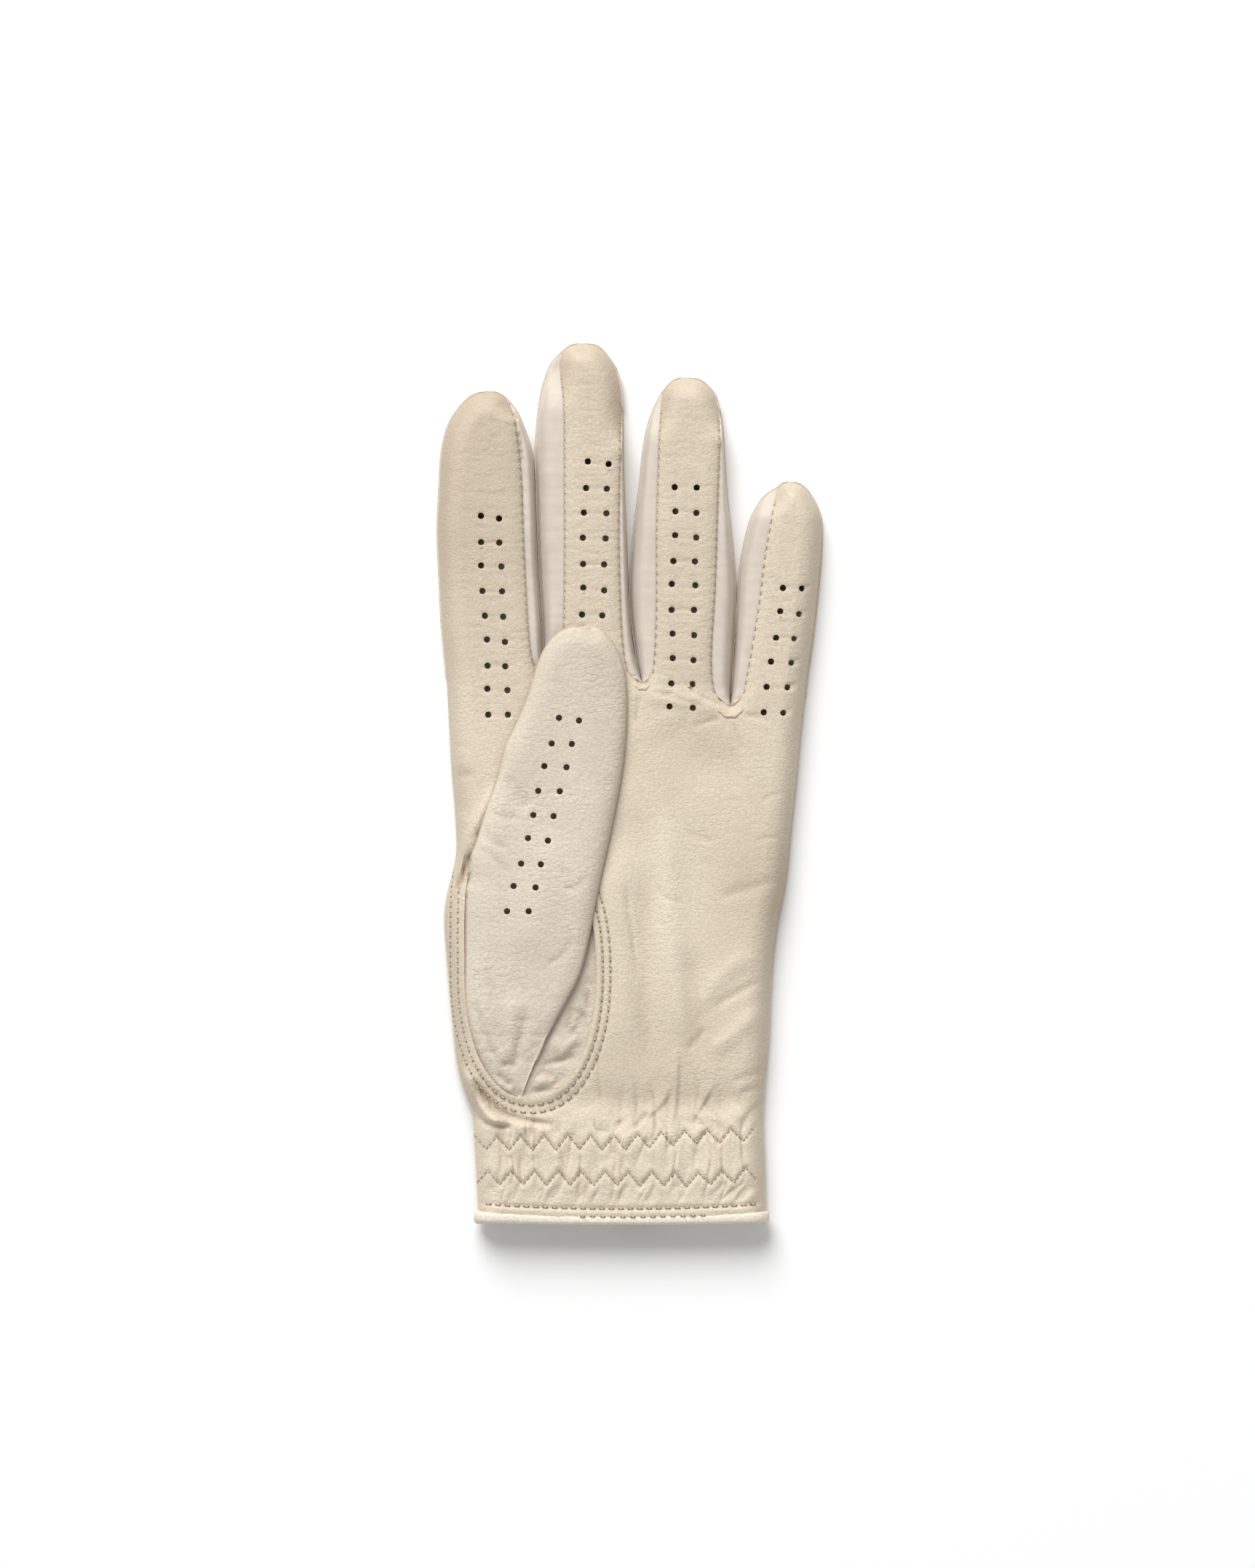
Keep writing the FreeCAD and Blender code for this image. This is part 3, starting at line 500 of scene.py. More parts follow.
def cuff_relief(x, y):
    """Gathers over the elastic, and the leather pulled down along the zigzag stitches and the hem's row."""
    inside = ease((x - HEM_LEFT + 0.5) / 3) * ease((PALM_RIGHT[0][0] + 0.5 - x) / 3)
    lean = x - 0.38 * np.minimum(y - 11, 0) - 0.05 * y + 1.6 * (noise(x / 5, y / 6, 31) - 0.5)
    pleat = wrinkles(lean / 3.0, y / 15, 32, 2.3) * 0.55 + (noise(lean / 2.2, y / 9, 33) - 0.5) * 0.55
    bulge = noise(x / 3.1, y / 7, 34) * 0.35
    z = (1.15 * pleat * ease((y - 4.5) / 3) * ease((33 - y) / 9) + bulge) * inside
    for which in range(2):
        away = away_from(x, y, zigzag_line(which))
        z = z - 0.32 * np.exp(-(away / 0.38) ** 2) + 0.15 * np.exp(-((away - 1.3) / 0.8) ** 2)
    above_hem = y - hem_row(x)
    z = z - 0.40 * np.exp(-(above_hem / 0.65) ** 2) + 0.2 * np.exp(-((above_hem + 1.1) / 0.8) ** 2)
    return z


def soft_folds(x, y):
    return sum(fold(x, y, path, width, 1.3 * height) for path, width, height in SOFT_FOLDS)


def palm_relief(x, y):
    """The folds of the palm: the long soft ones, the gathers that run up from the cuff, and the creases."""
    z = 0.7 * (noise(x / 24, y / 30, 1) - 0.5) + 0.35 * (noise(x / 9, y / 12, 2) - 0.5) + soft_folds(x, y)
    z = with_folds(z, x, y, CREASES)
    for path, width, height in LAPS:
        z = z + lap(x, y, path, width, height)
    z = z + bump_at(x, y, (4, 126), 9, 0.6) + bump_at(x, y, (2, 112), 7, 0.5)
    gather = wrinkles((x + 1.4 * noise(x / 7, y / 9, 4)) / 4.4, y / 30, 5, 2.4)
    z = z + 0.5 * gather * ease((44 - y) / 16) * ease((y - 22) / 5) * ease((x + 14) / 8)
    z = z + 0.05 * wrinkles(x / 7, y / 4, 6, 4.5)
    return z


def finger_relief(x, y):
    """Fine cross wrinkles on the fingers, and a crease through most pairs of holes."""
    z = 0.09 * wrinkles(x / 8 + 0.3 * noise(x / 5, y / 5, 11), y / 2.9, 12, 4.0)
    z = z + 0.07 * wrinkles(x / 5, y / 2.0, 14, 4.5)
    z = z + 0.5 * (noise(x / 9, y / 14, 13) - 0.5)
    for name in NAMES:
        foot, head, rows, apart = PUNCH_ROWS[name]
        for k in range(rows):
            t = k / (rows - 1)
            cx, cy = foot[0] + (head[0] - foot[0]) * t, foot[1] + (head[1] - foot[1]) * t
            close = (np.abs(x - cx) < 9) & (np.abs(y - cy) < 3)
            bow = cy - 0.15 + 0.5 * math.sin(k * 2.3) * ((x - cx) / apart) ** 2
            dent = np.exp(-((y - bow) / 0.5) ** 2 - ((x - cx) / (0.85 * apart)) ** 4)
            z = z - np.where(close, dent * (0.04 + 0.16 * abs(math.sin(k * 1.7 + len(name)))), 0)
    return z


def front_relief(x, y):
    in_cuff = ease((32 - y) / 8)
    in_palm = ease((y - 21) / 6) * ease((147 - y) / 10)
    in_finger = ease((y - 126) / 16)
    z = in_palm * palm_relief(x, y)
    if np.any(in_finger > 0):
        z = z + in_finger * finger_relief(x, y)
    if np.any(in_cuff > 0):
        z = z + in_cuff * cuff_relief(x, y)
    for grow in SEAM_ROWS:
        away = (oval_level(x, y, grow) - 1) * 24
        z = z - 0.34 * np.exp(-(away / 0.55) ** 2)
    away = (oval_level(x, y, 0.9) - 1) * 24
    z = z + 0.30 * np.exp(-(away / 0.8) ** 2)
    swept = ease((-2 - x) / 8) * ease((y - 88) / 8) * ease((152 - y) / 6)
    z = z - 0.85 * swept * np.maximum(z - 0.15, 0)
    under = OUTLINE.under_thumb(x, y)
    return z * (1 - 0.85 * under) - 0.35 * under


def edge_relief(x, y):
    """What stands up right at the outer edge: the roll at the heel of the hand, and the leather beside
    the thumb, with the slit behind it."""
    z = fold(x, y, [(-44.6, 42), (-42.2, 37.5), (-40.5, 33), (-38.2, 29.8), (-35.5, 27.6), (-31, 26.6)],
             1.5, 2.6, 0.2)
    return with_folds(z, x, y, EDGE_FOLDS)


def front_height(x, y, puckered=True):
    """The height of the front leather anywhere on the hand."""
    return front_shape(x, y, puckered)[0]


def front_shape(x, y, puckered=True):
    """The height of the front leather, and how far up each point is from the outer edge, from 0 to 1."""
    s = sizes()
    x, y = np.broadcast_arrays(np.asarray(x, float), np.asarray(y, float))
    seam = np.min([away_from(x, y, line) for line in OUTLINE.seams], axis=0)
    pucker = 0.14 * np.cos(y * 2 * np.pi / 2.3) * np.exp(-(seam / 0.9) ** 2) * puckered
    wrist = 1.0 * np.exp(-((y - 31.5) / 4.5) ** 2) + 0.5 * ease((14 - y) / 12)
    top = FRONT_TOP + 0.2 - wrist + front_relief(x, y) + pucker
    top = top - s.seam_dip / MM * (1 - rounded(seam / (s.seam_roll / MM)))
    roll = np.ones(x.shape)
    shore = np.full(x.shape, 1e9)
    for line, from_seam, to_seam in OUTLINE.outer:
        away, along, _ = nearest(x, y, line)
        past = along > np.argmax(line[:, 1]) / (len(line) - 1)
        grown = np.ones(x.shape)
        for levels, there in ((from_seam, ~past), (to_seam, past)):
            if levels is not None:
                grown = np.where(there, ease((y - levels[0]) / (levels[1] - levels[0])), grown)
        roll = np.minimum(roll, 1 - grown * (1 - rounded((away - 0.1) / (s.edge_roll / MM))))
        shore = np.minimum(shore, away)
    return EDGE_HEIGHT + (top - EDGE_HEIGHT) * roll + edge_relief(x, y) * ease(shore / 2.2), roll


def hollows(z):
    """How deep each point of a grid lies below the mean of its neighbours: the bottoms of the creases."""
    rows, cols = z.shape
    wide = np.pad(z, 2, mode="edge")
    mean = sum(wide[i:i + rows, j:j + cols] for i in range(5) for j in range(5)) / 25
    return np.clip(mean - z, 0, 0.4)


def front_tint(x, y, z):
    """Painted shade in the creases, in the hollows of the soft folds, where the leather rolls down at the
    outer edges, along the zigzag stitches, in the slit beside the thumb and on the tip of the middle finger;
    darker above the cuff and on the fingers, the index finger most, with a few broad darker and lighter
    patches; all over a slightly uneven dye.
    """
    _, roll = front_shape(x, y)
    # painted shade in the bottoms of the creases, away from the rolled edges
    shade = 1.5 * hollows(z) * ease((roll - 0.75) / 0.2)
    # darker above the cuff and on the fingers, the index finger most, with broad darker and lighter patches
    # on the palm
    shade = shade + 0.13 * ease((y - 25) / 10)
    index = 0.22 * ease((-24 - x) / 5) * ease((y - 150) / 40)
    shade = shade + ease((y - 120) / 30) * (0.04 + index + 0.04 * ease((30 - x) / 8))
    # painted shade on the tip of the middle finger
    shade = shade + 0.08 * bump_at(x, y, (-10, 222), 14, 1.0)
    shade = shade + bump_at(x, y, (14, 150), 15, 0.08) + bump_at(x, y, (10, 38), 22, 0.08)
    shade = shade + 0.32 * bump_at(x, y, (40, 88), 18, 1.0) - 0.16 * bump_at(x, y, (12, 84), 17, 1.0)
    shade = shade + 0.05 * bump_at(x, y, (10, 42), 9, 1.0)
    # a random uneven dye, and painted shade in the hollows of the soft folds
    shade = shade + 0.09 * noise(x / 22, y / 22, 91) + np.clip(0.03 - 0.07 * soft_folds(x, y), 0, 0.1)
    # painted shade where the leather rolls down at the outer edges
    shade = shade + 0.14 * ease((0.97 - roll) / 0.3)
    # painted shade in the grooves along the zigzag stitches
    if np.any(y < 30):
        for which in range(2):
            shade = shade + 0.10 * np.exp(-(away_from(x, y, zigzag_line(which)) / 0.3) ** 2)
    # painted shadow in the slit beside the thumb
    slit = fold(x, y, [(-41.2, 97.2), (-42.6, 93.6), (-44.2, 90.2), (-45.8, 86.8)], 0.5, 0.9)
    return np.clip(shade + slit, 0, 1)


# ---- meshes ------------------------------------------------------------------------------------------
def to_metres(points):
    p = np.asarray(points, float).reshape(-1, 3).copy()
    p[:, 0] += OFFSET_X
    p[:, 1] += OFFSET_Y
    return p * MM


def spot(x, y, z):
    """One point of the drawing in the object's own frame, in metres."""
    return tuple(to_metres([(x, y, z)])[0])


def add_piece(name, points, faces, material, tint=None):
    """A mesh object from points in millimetres. Doubled points are merged and empty faces dropped."""
    mesh = bpy.data.meshes.new(name)
    mesh.from_pydata(to_metres(points).tolist(), [], faces)
    if tint is not None:
        values = mesh.attributes.new("tint", "FLOAT", "POINT").data
        values.foreach_set("value", np.ravel(tint).astype(np.float32))
    work = bmesh.new()
    work.from_mesh(mesh)
    loose = [v for v in work.verts if not v.link_faces]
    bmesh.ops.delete(work, geom=loose, context="VERTS")
    bmesh.ops.remove_doubles(work, verts=work.verts, dist=0.004 * MM)
    bmesh.ops.dissolve_degenerate(work, edges=work.edges, dist=0.002 * MM)
    work.to_mesh(mesh)
    work.free()
    for face in mesh.polygons:
        face.use_smooth = True
    mesh.materials.append(material)
    piece = bpy.data.objects.new(name, mesh)
    bpy.context.scene.collection.objects.link(piece)
    return piece


def thicken(piece, thickness, rim=None):
    """Gives a sheet its thickness, inwards from the face that shows, with crisp cut edges."""
    for other in bpy.context.selected_objects:
        other.select_set(False)
    bpy.context.view_layer.objects.active = piece
    piece.select_set(True)
    solid = piece.modifiers.new("Thickness", "SOLIDIFY")
    solid.thickness = thickness * MM
    solid.offset = -1.0
    if rim is not None:
        piece.data.materials.append(rim)
        solid.material_offset_rim = len(piece.data.materials) - 1
    bpy.ops.object.modifier_apply(modifier=solid.name)
    piece.select_set(False)
    sharpen(piece, 60)
    return piece


def sharpen(piece, degrees):
    work = bmesh.new()
    work.from_mesh(piece.data)
    for edge in work.edges:
        edge.smooth = edge.calc_face_angle(0) < math.radians(degrees)
    work.to_mesh(piece.data)
    work.free()


def grid_faces(shape, keep=None, start=0, flip=False):
    rows, cols = shape
    faces = []
    for i in range(rows - 1):
        for j in range(cols - 1):
            if keep is not None and not keep[i, j]:
                continue
            a = start + i * cols + j
            quad = (a, a + 1, a + cols + 1, a + cols)
            faces.append(quad[::-1] if flip else quad)
    return faces


def spread(width_cells, left_roll, right_roll, cells=9):
    """Shares from 0 to 1 across a strip, closer together where the leather rolls down at an end.
    Each roll is the share of the strip that it takes."""
    turn = np.linspace(0, np.pi / 2, cells + 1)[:-1]
    left = left_roll * (1 - np.cos(turn))
    right = 1 - right_roll * (1 - np.cos(turn))
    middle = np.linspace(left_roll, 1 - right_roll, width_cells)
    return np.concatenate([left, middle, right[::-1]])


def steps_up(low, high, tip, step):
    """Heights from low to high, closer together over the last stretch, the tip."""
    even = np.arange(low, high - tip, step)
    turn = np.linspace(0, np.pi / 2, max(8, int(1.6 * tip / step)))
    return np.concatenate([even, high - tip + tip * np.sin(turn)])


def punch(x, y, keep, places, radius, dimple, z):
    """Opens round holes in a grid: the cells at each place go, and the points round it move to a circle."""
    for px, py in places:
        away = np.hypot(x - px, y - py)
        i, j = np.unravel_index(np.argmin(away), x.shape)
        if away[i, j] > 1.0 or i < 3 or j < 3 or i > x.shape[0] - 4 or j > x.shape[1] - 4:
            continue
        step_x = abs(x[i, j + 1] - x[i, j - 1]) / 2
        step_y = abs(y[i + 1, j] - y[i - 1, j]) / 2
        nx = max(2, int(round(1.7 * radius / step_x)))
        ny = max(2, int(round(1.7 * radius / step_y)))
        i0, j0 = i - ny // 2, j - nx // 2
        keep[i0:i0 + ny, j0:j0 + nx] = False
        ring = [(i0, j0 + b) for b in range(nx + 1)] + [(i0 + ny, j0 + b) for b in range(nx + 1)]
        ring += [(i0 + a, j0) for a in range(1, ny)] + [(i0 + a, j0 + nx) for a in range(1, ny)]
        mx = np.mean([x[p] for p in ring])
        my = np.mean([y[p] for p in ring])
        for p in ring:
            turn = math.atan2((y[p] - my) / step_y / ny, (x[p] - mx) / step_x / nx)
            x[p], y[p] = px + radius * math.cos(turn), py + radius * math.sin(turn)
            z[p] -= dimple


# ---- materials ------------------------------------------------------------------------------------------
def new_group(name, inputs, outputs):
    group = bpy.data.node_groups.new(name, "ShaderNodeTree")
    for label, kind, value in inputs:
        socket = group.interface.new_socket(label, in_out="INPUT", socket_type=kind)
        if value is not None:
            socket.default_value = value
    for label, kind in outputs:
        group.interface.new_socket(label, in_out="OUTPUT", socket_type=kind)
    return group, group.nodes.new("NodeGroupInput"), group.nodes.new("NodeGroupOutput")


def put(tree, kind, **values):
    node = tree.nodes.new(kind)
    for label, value in values.items():
        setattr(node, label, value)
    return node


def math_node(tree, operation, a, b=None, clamp=False):
    node = put(tree, "ShaderNodeMath", operation=operation, use_clamp=clamp)
    for socket, value in zip(node.inputs, (a, b)):
        if value is None:
            continue
        if isinstance(value, (int, float)):
            socket.default_value = value
        else:
            tree.links.new(value, socket)
    return node.outputs[0]


def noise_node(tree, vector, scale, detail, roughness=0.55):
    node = put(tree, "ShaderNodeTexNoise")
    node.inputs["Scale"].default_value = scale
    node.inputs["Detail"].default_value = detail
    node.inputs["Roughness"].default_value = roughness
    tree.links.new(vector, node.inputs["Vector"])
    return node.outputs["Fac"]


def grain_group():
    """Fine leather grain: pores, short creases that run mostly across the hand, and slow changes of tone."""
    if "Leather grain" in bpy.data.node_groups:
        return bpy.data.node_groups["Leather grain"]
    group, given, out = new_group(
        "Leather grain",
        [("Vector", "NodeSocketVector", None), ("Grain size", "NodeSocketFloat", 1.0),
         ("Creases", "NodeSocketFloat", 0.5)],
        [("Height", "NodeSocketFloat"), ("Tone", "NodeSocketFloat"), ("Pores", "NodeSocketFloat")])
    scaled = put(group, "ShaderNodeVectorMath", operation="SCALE")
    group.links.new(given.outputs["Vector"], scaled.inputs[0])
    group.links.new(given.outputs["Grain size"], scaled.inputs["Scale"])
    place = scaled.outputs[0]
    web = cracks(group, place, (1.0, 1.0, 1.0), 900, 0.0009)
    fine = noise_node(group, place, 1500, 4, 0.65)
    short = cracks(group, place, (1.0, 2.1, 1.0), 330, 0.0026)
    short = math_node(group, "MULTIPLY", math_node(group, "SUBTRACT", short, 1.0), given.outputs["Creases"])
    patchy = put(group, "ShaderNodeMapRange")
    group.links.new(noise_node(group, place, 75, 2), patchy.inputs["Value"])
    patchy.inputs["From Min"].default_value = 0.42
    patchy.inputs["From Max"].default_value = 0.62
    short = math_node(group, "MULTIPLY", short, patchy.outputs[0])
    web_height = math_node(group, "MULTIPLY", web, 0.45)
    height = math_node(group, "ADD", web_height, math_node(group, "MULTIPLY", fine, 0.75))
    group.links.new(math_node(group, "ADD", height, short), out.inputs["Height"])
    tone = math_node(group, "MULTIPLY", noise_node(group, given.outputs["Vector"], 1350, 2, 0.6), 0.7)
    slow = math_node(group, "MULTIPLY", noise_node(group, given.outputs["Vector"], 38, 3), 0.3)
    group.links.new(math_node(group, "ADD", tone, slow), out.inputs["Tone"])
    group.links.new(web, out.inputs["Pores"])
    return group


def cracks(group, place, stretch, scale, wander):
    """A net of thin lines: 0 on them and 1 between them."""
    stretched = put(group, "ShaderNodeVectorMath", operation="MULTIPLY")
    group.links.new(place, stretched.inputs[0])
    stretched.inputs[1].default_value = stretch
    warp = put(group, "ShaderNodeTexNoise")
    warp.inputs["Scale"].default_value = scale * 0.6
    warp.inputs["Detail"].default_value = 3
    group.links.new(place, warp.inputs["Vector"])
    moved = put(group, "ShaderNodeVectorMath", operation="MULTIPLY_ADD")
    group.links.new(warp.outputs["Color"], moved.inputs[0])
    moved.inputs[1].default_value = (wander, wander, wander)
    group.links.new(stretched.outputs[0], moved.inputs[2])
    cells = put(group, "ShaderNodeTexVoronoi", feature="DISTANCE_TO_EDGE")
    cells.inputs["Scale"].default_value = scale
    group.links.new(moved.outputs[0], cells.inputs["Vector"])
    return math_node(group, "MULTIPLY", cells.outputs["Distance"], 5.0, clamp=True)


def weave_group():
    """A fine woven or knitted cloth: crossed ribs with a little fuzz."""
    if "Cloth weave" in bpy.data.node_groups:
        return bpy.data.node_groups["Cloth weave"]
    group, given, out = new_group(
        "Cloth weave",
        [("Vector", "NodeSocketVector", None), ("Threads", "NodeSocketFloat", 2200.0)],
        [("Height", "NodeSocketFloat"), ("Tone", "NodeSocketFloat")])
    split = put(group, "ShaderNodeSeparateXYZ")
    group.links.new(given.outputs["Vector"], split.inputs[0])
    ribs = []
    for axis, other in (("X", "Y"), ("Y", "X")):
        along = math_node(group, "MULTIPLY", split.outputs[axis], given.outputs["Threads"])
        across = math_node(group, "MULTIPLY", split.outputs[other], given.outputs["Threads"])
        wave = math_node(group, "SINE", math_node(group, "MULTIPLY", along, 6.2832))
        beat = math_node(group, "SINE", math_node(group, "MULTIPLY", across, 3.1416))
        ribs.append(math_node(group, "MULTIPLY", wave, beat))
    weave = math_node(group, "ADD", ribs[0], ribs[1])
    fuzz = noise_node(group, given.outputs["Vector"], 3000, 2)
    height = math_node(group, "ADD", math_node(group, "MULTIPLY", weave, 0.2), fuzz)
    group.links.new(height, out.inputs["Height"])
    group.links.new(noise_node(group, given.outputs["Vector"], 220, 4), out.inputs["Tone"])
    return group


def new_material(name):
    material = bpy.data.materials.new(name)
    material.use_nodes = True
    tree = material.node_tree
    tree.nodes.clear()
    shader = put(tree, "ShaderNodeBsdfPrincipled")
    out = put(tree, "ShaderNodeOutputMaterial")
    tree.links.new(shader.outputs[0], out.inputs["Surface"])
    place = put(tree, "ShaderNodeTexCoord").outputs["Object"]
    return material, tree, shader, place


def shade_of(value, factor, warm=0.0):
    return (value[0] * factor, value[1] * factor * (1 - 0.5 * warm), value[2] * factor * (1 - warm), 1.0)


def mixed_colour(tree, share, a, b):
    node = put(tree, "ShaderNodeMix", data_type="RGBA")
    tree.links.new(share, node.inputs["Factor"])
    for socket, value in ((node.inputs[6], a), (node.inputs[7], b)):
        if isinstance(value, bpy.types.NodeSocket):
            tree.links.new(value, socket)
        else:
            socket.default_value = value
    return node.outputs[2]


def add_bump(tree, shader, height, strength, distance):
    bump = put(tree, "ShaderNodeBump")
    bump.inputs["Strength"].default_value = strength
    bump.inputs["Distance"].default_value = distance * MM
    tree.links.new(height, bump.inputs["Height"])
    tree.links.new(bump.outputs["Normal"], shader.inputs["Normal"])


def leather(name, value, grain=1.0, creases=0.5, roughness=0.68):
    """Thin sheepskin. The point attribute tint darkens it, mostly with painted shade in seams, creases and
    other shaded places, also with some broad changes of tone.
    """
    if name in bpy.data.materials:
        return bpy.data.materials[name]
    material, tree, shader, place = new_material(name)
    effect = put(tree, "ShaderNodeGroup", node_tree=grain_group())
    tree.links.new(place, effect.inputs["Vector"])
    effect.inputs["Grain size"].default_value = grain
    effect.inputs["Creases"].default_value = creases
    tone = put(tree, "ShaderNodeMapRange")
    tree.links.new(effect.outputs["Tone"], tone.inputs["Value"])
    tone.inputs["From Min"].default_value = 0.42
    tone.inputs["From Max"].default_value = 0.58
    base = mixed_colour(tree, tone.outputs[0], shade_of(value, 0.935, 0.03), shade_of(value, 1.045, -0.01))
    pores = math_node(tree, "MULTIPLY_ADD", effect.outputs["Pores"], -0.10)
    tree.nodes[-1].inputs[2].default_value = 0.10
    base = mixed_colour(tree, pores, base, shade_of(value, 0.62, 0.12))
    # the point attribute tint: painted shade, with some changes of tone, mixed towards a darker, warmer
    # colour
    painted_shade_and_tone = put(tree, "ShaderNodeAttribute", attribute_name="tint")
    base = mixed_colour(tree, painted_shade_and_tone.outputs["Fac"], base, shade_of(value, 0.52, 0.22))
    tree.links.new(base, shader.inputs["Base Color"])
    rough = math_node(tree, "MULTIPLY_ADD", effect.outputs["Pores"], -0.10)
    tree.nodes[-1].inputs[2].default_value = roughness + 0.08
    tree.links.new(rough, shader.inputs["Roughness"])
    shader.inputs["Specular IOR Level"].default_value = 0.22
    shader.inputs["Sheen Weight"].default_value = 0.06
    add_bump(tree, shader, effect.outputs["Height"], 0.6, 0.18)
    return material


def cloth(name, value, threads, depth=0.2, roughness=0.85, sheen=0.25, deep=0.55):
    if name in bpy.data.materials:
        return bpy.data.materials[name]
    material, tree, shader, place = new_material(name)
    effect = put(tree, "ShaderNodeGroup", node_tree=weave_group())
    tree.links.new(place, effect.inputs["Vector"])
    effect.inputs["Threads"].default_value = threads
    tone = put(tree, "ShaderNodeMapRange")
    tree.links.new(effect.outputs["Tone"], tone.inputs["Value"])
    tone.inputs["From Min"].default_value = 0.3
    tone.inputs["From Max"].default_value = 0.7
    base = mixed_colour(tree, tone.outputs[0], shade_of(value, 0.94, 0.02), shade_of(value, 1.03))
    # the point attribute tint: painted shade, mixed towards the deep colour
    painted_shade_and_tone = put(tree, "ShaderNodeAttribute", attribute_name="tint")
    base = mixed_colour(tree, painted_shade_and_tone.outputs["Fac"], base, shade_of(value, deep, 0.15))
    tree.links.new(base, shader.inputs["Base Color"])
    shader.inputs["Roughness"].default_value = roughness
    shader.inputs["Sheen Weight"].default_value = sheen
    shader.inputs["Specular IOR Level"].default_value = 0.2
    add_bump(tree, shader, effect.outputs["Height"], 0.35, depth)
    return material


def palm_leather():
    return leather("grained_palm_leather", colours().palm)


def thumb_leather():
    return leather("grained_thumb_leather", colours().thumb, 0.9, 0.8)


def back_leather():
    return leather("back_leather", colours().back, 1.0, 0.3)


def edge_leather():
    return leather("raw_leather_edge", colours().raw_edge, 1.4, 0.2, 0.85)


# ---- the palm and the fingers ------------------------------------------------------------------------
def finger_columns(name):
    """Shares across the front leather of a finger. The same columns run on down the palm."""
    step = sizes().spacing / MM
    left, right = FRONT_LINES[name]
    width = right[0][0] - left[0][0]
    rolled_left, rolled_right = name == "index", name == "little"
    roll = sizes().edge_roll / MM / width
    seam = sizes().seam_roll / MM / width * 0.5
    return spread(int(width / step), roll if rolled_left else seam, roll if rolled_right else seam,
                  9 if rolled_left or rolled_right else 4)


def foot_row(name):
    """Where the front leather of a finger starts: on the line between the two crotches beside it."""
    left, right = FRONT_LINES[name][0][0], FRONT_LINES[name][1][0]
    share = finger_columns(name)
    x = left[0] + (right[0] - left[0]) * share
    y = left[1] + (right[1] - left[1]) * share
    return x, y


class GLOVE_OT_palm(bpy.types.Operator):
    """Builds the front leather of the hand, from the hem to the feet of the fingers"""
    bl_idname = "glove.palm"
    bl_label = "Palm leather"

    def execute(self, context):
        step = sizes().spacing / MM
        tops = [foot_row(name) for name in NAMES]
        top_x = np.concatenate([t[0] if k == 0 else t[0][1:] for k, t in enumerate(tops)])
        top_y = np.concatenate([t[1] if k == 0 else t[1][1:] for k, t in enumerate(tops)])
        share = (top_x - OUTLINE.left(top_y)) / (OUTLINE.right(top_y) - OUTLINE.left(top_y))
        cuff = 27
        rise = np.concatenate([np.arange(HEM_Y, cuff, 0.66 * step),
                               np.linspace(cuff, PALM_Y, int((PALM_Y - cuff) / step))])
        rise = ((rise - HEM_Y) / (PALM_Y - HEM_Y))[:, None]
        y = HEM_Y + rise * (top_y - HEM_Y)[None, :]
        x = OUTLINE.left(y) + share[None, :] * (OUTLINE.right(y) - OUTLINE.left(y))
        y = y + 1.3 * sag(x) * (1 - rise) ** 8
        keep = np.ones((x.shape[0] - 1, x.shape[1] - 1), bool)
        open_oval(x, y, keep)
        z = front_height(x, y)
        for name in NAMES:
            below_foot = [p for p in punch_places(name) if p[1] < 141]
            punch(x, y, keep, below_foot, sizes().punch / MM, 0.12, z)
        points = np.stack([x, y, z], axis=-1)
        piece = add_piece("palm_leather", points, grid_faces(x.shape, keep), palm_leather(),
                          front_tint(x, y, z))
        thicken(piece, sizes().leather / MM)
        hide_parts("palm_panel")
        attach(piece, "hand")
        return {"FINISHED"}


def open_oval(x, y, keep):
    """Takes the cells inside the thumb's oval out of a grid and moves the points round it onto the oval."""
    level = oval_level(x, y)
    inside = level < 1.0
    corners = [inside[:-1, :-1], inside[1:, :-1], inside[:-1, 1:], inside[1:, 1:]]
    keep &= np.sum(corners, axis=0) < 3
    alive = np.zeros(x.shape, int)
    for di in (0, 1):
        for dj in (0, 1):
            alive[di:di + keep.shape[0], dj:dj + keep.shape[1]] += keep
    rim = (alive > 0) & (alive < 4) & (np.abs(level - 1) < 0.12)
    cx, cy = OVAL[:2]
    x[rim] = cx + (x[rim] - cx) / level[rim]
    y[rim] = cy + (y[rim] - cy) / level[rim]


def finger_grid(share, foot_y, low, heights, left_line, right_line):
    """Points across a finger between its two edges: rows that follow the slant of its foot and settle to
    level higher up."""
    high = left_line[-1, 1]
    rows_x, rows_y = [], []
    for level in heights:
        settle = ease((level - low) / 14)
        y = foot_y * (1 - settle) + level * settle
        y = np.minimum(y + (level - low) * (1 - settle), high)
        left = np.interp(y[0], left_line[:, 1], left_line[:, 0])
        right = np.interp(y[-1], right_line[:, 1], right_line[:, 0])
        rows_x.append(left + (right - left) * share)
        rows_y.append(y)
    return np.array(rows_x), np.array(rows_y)


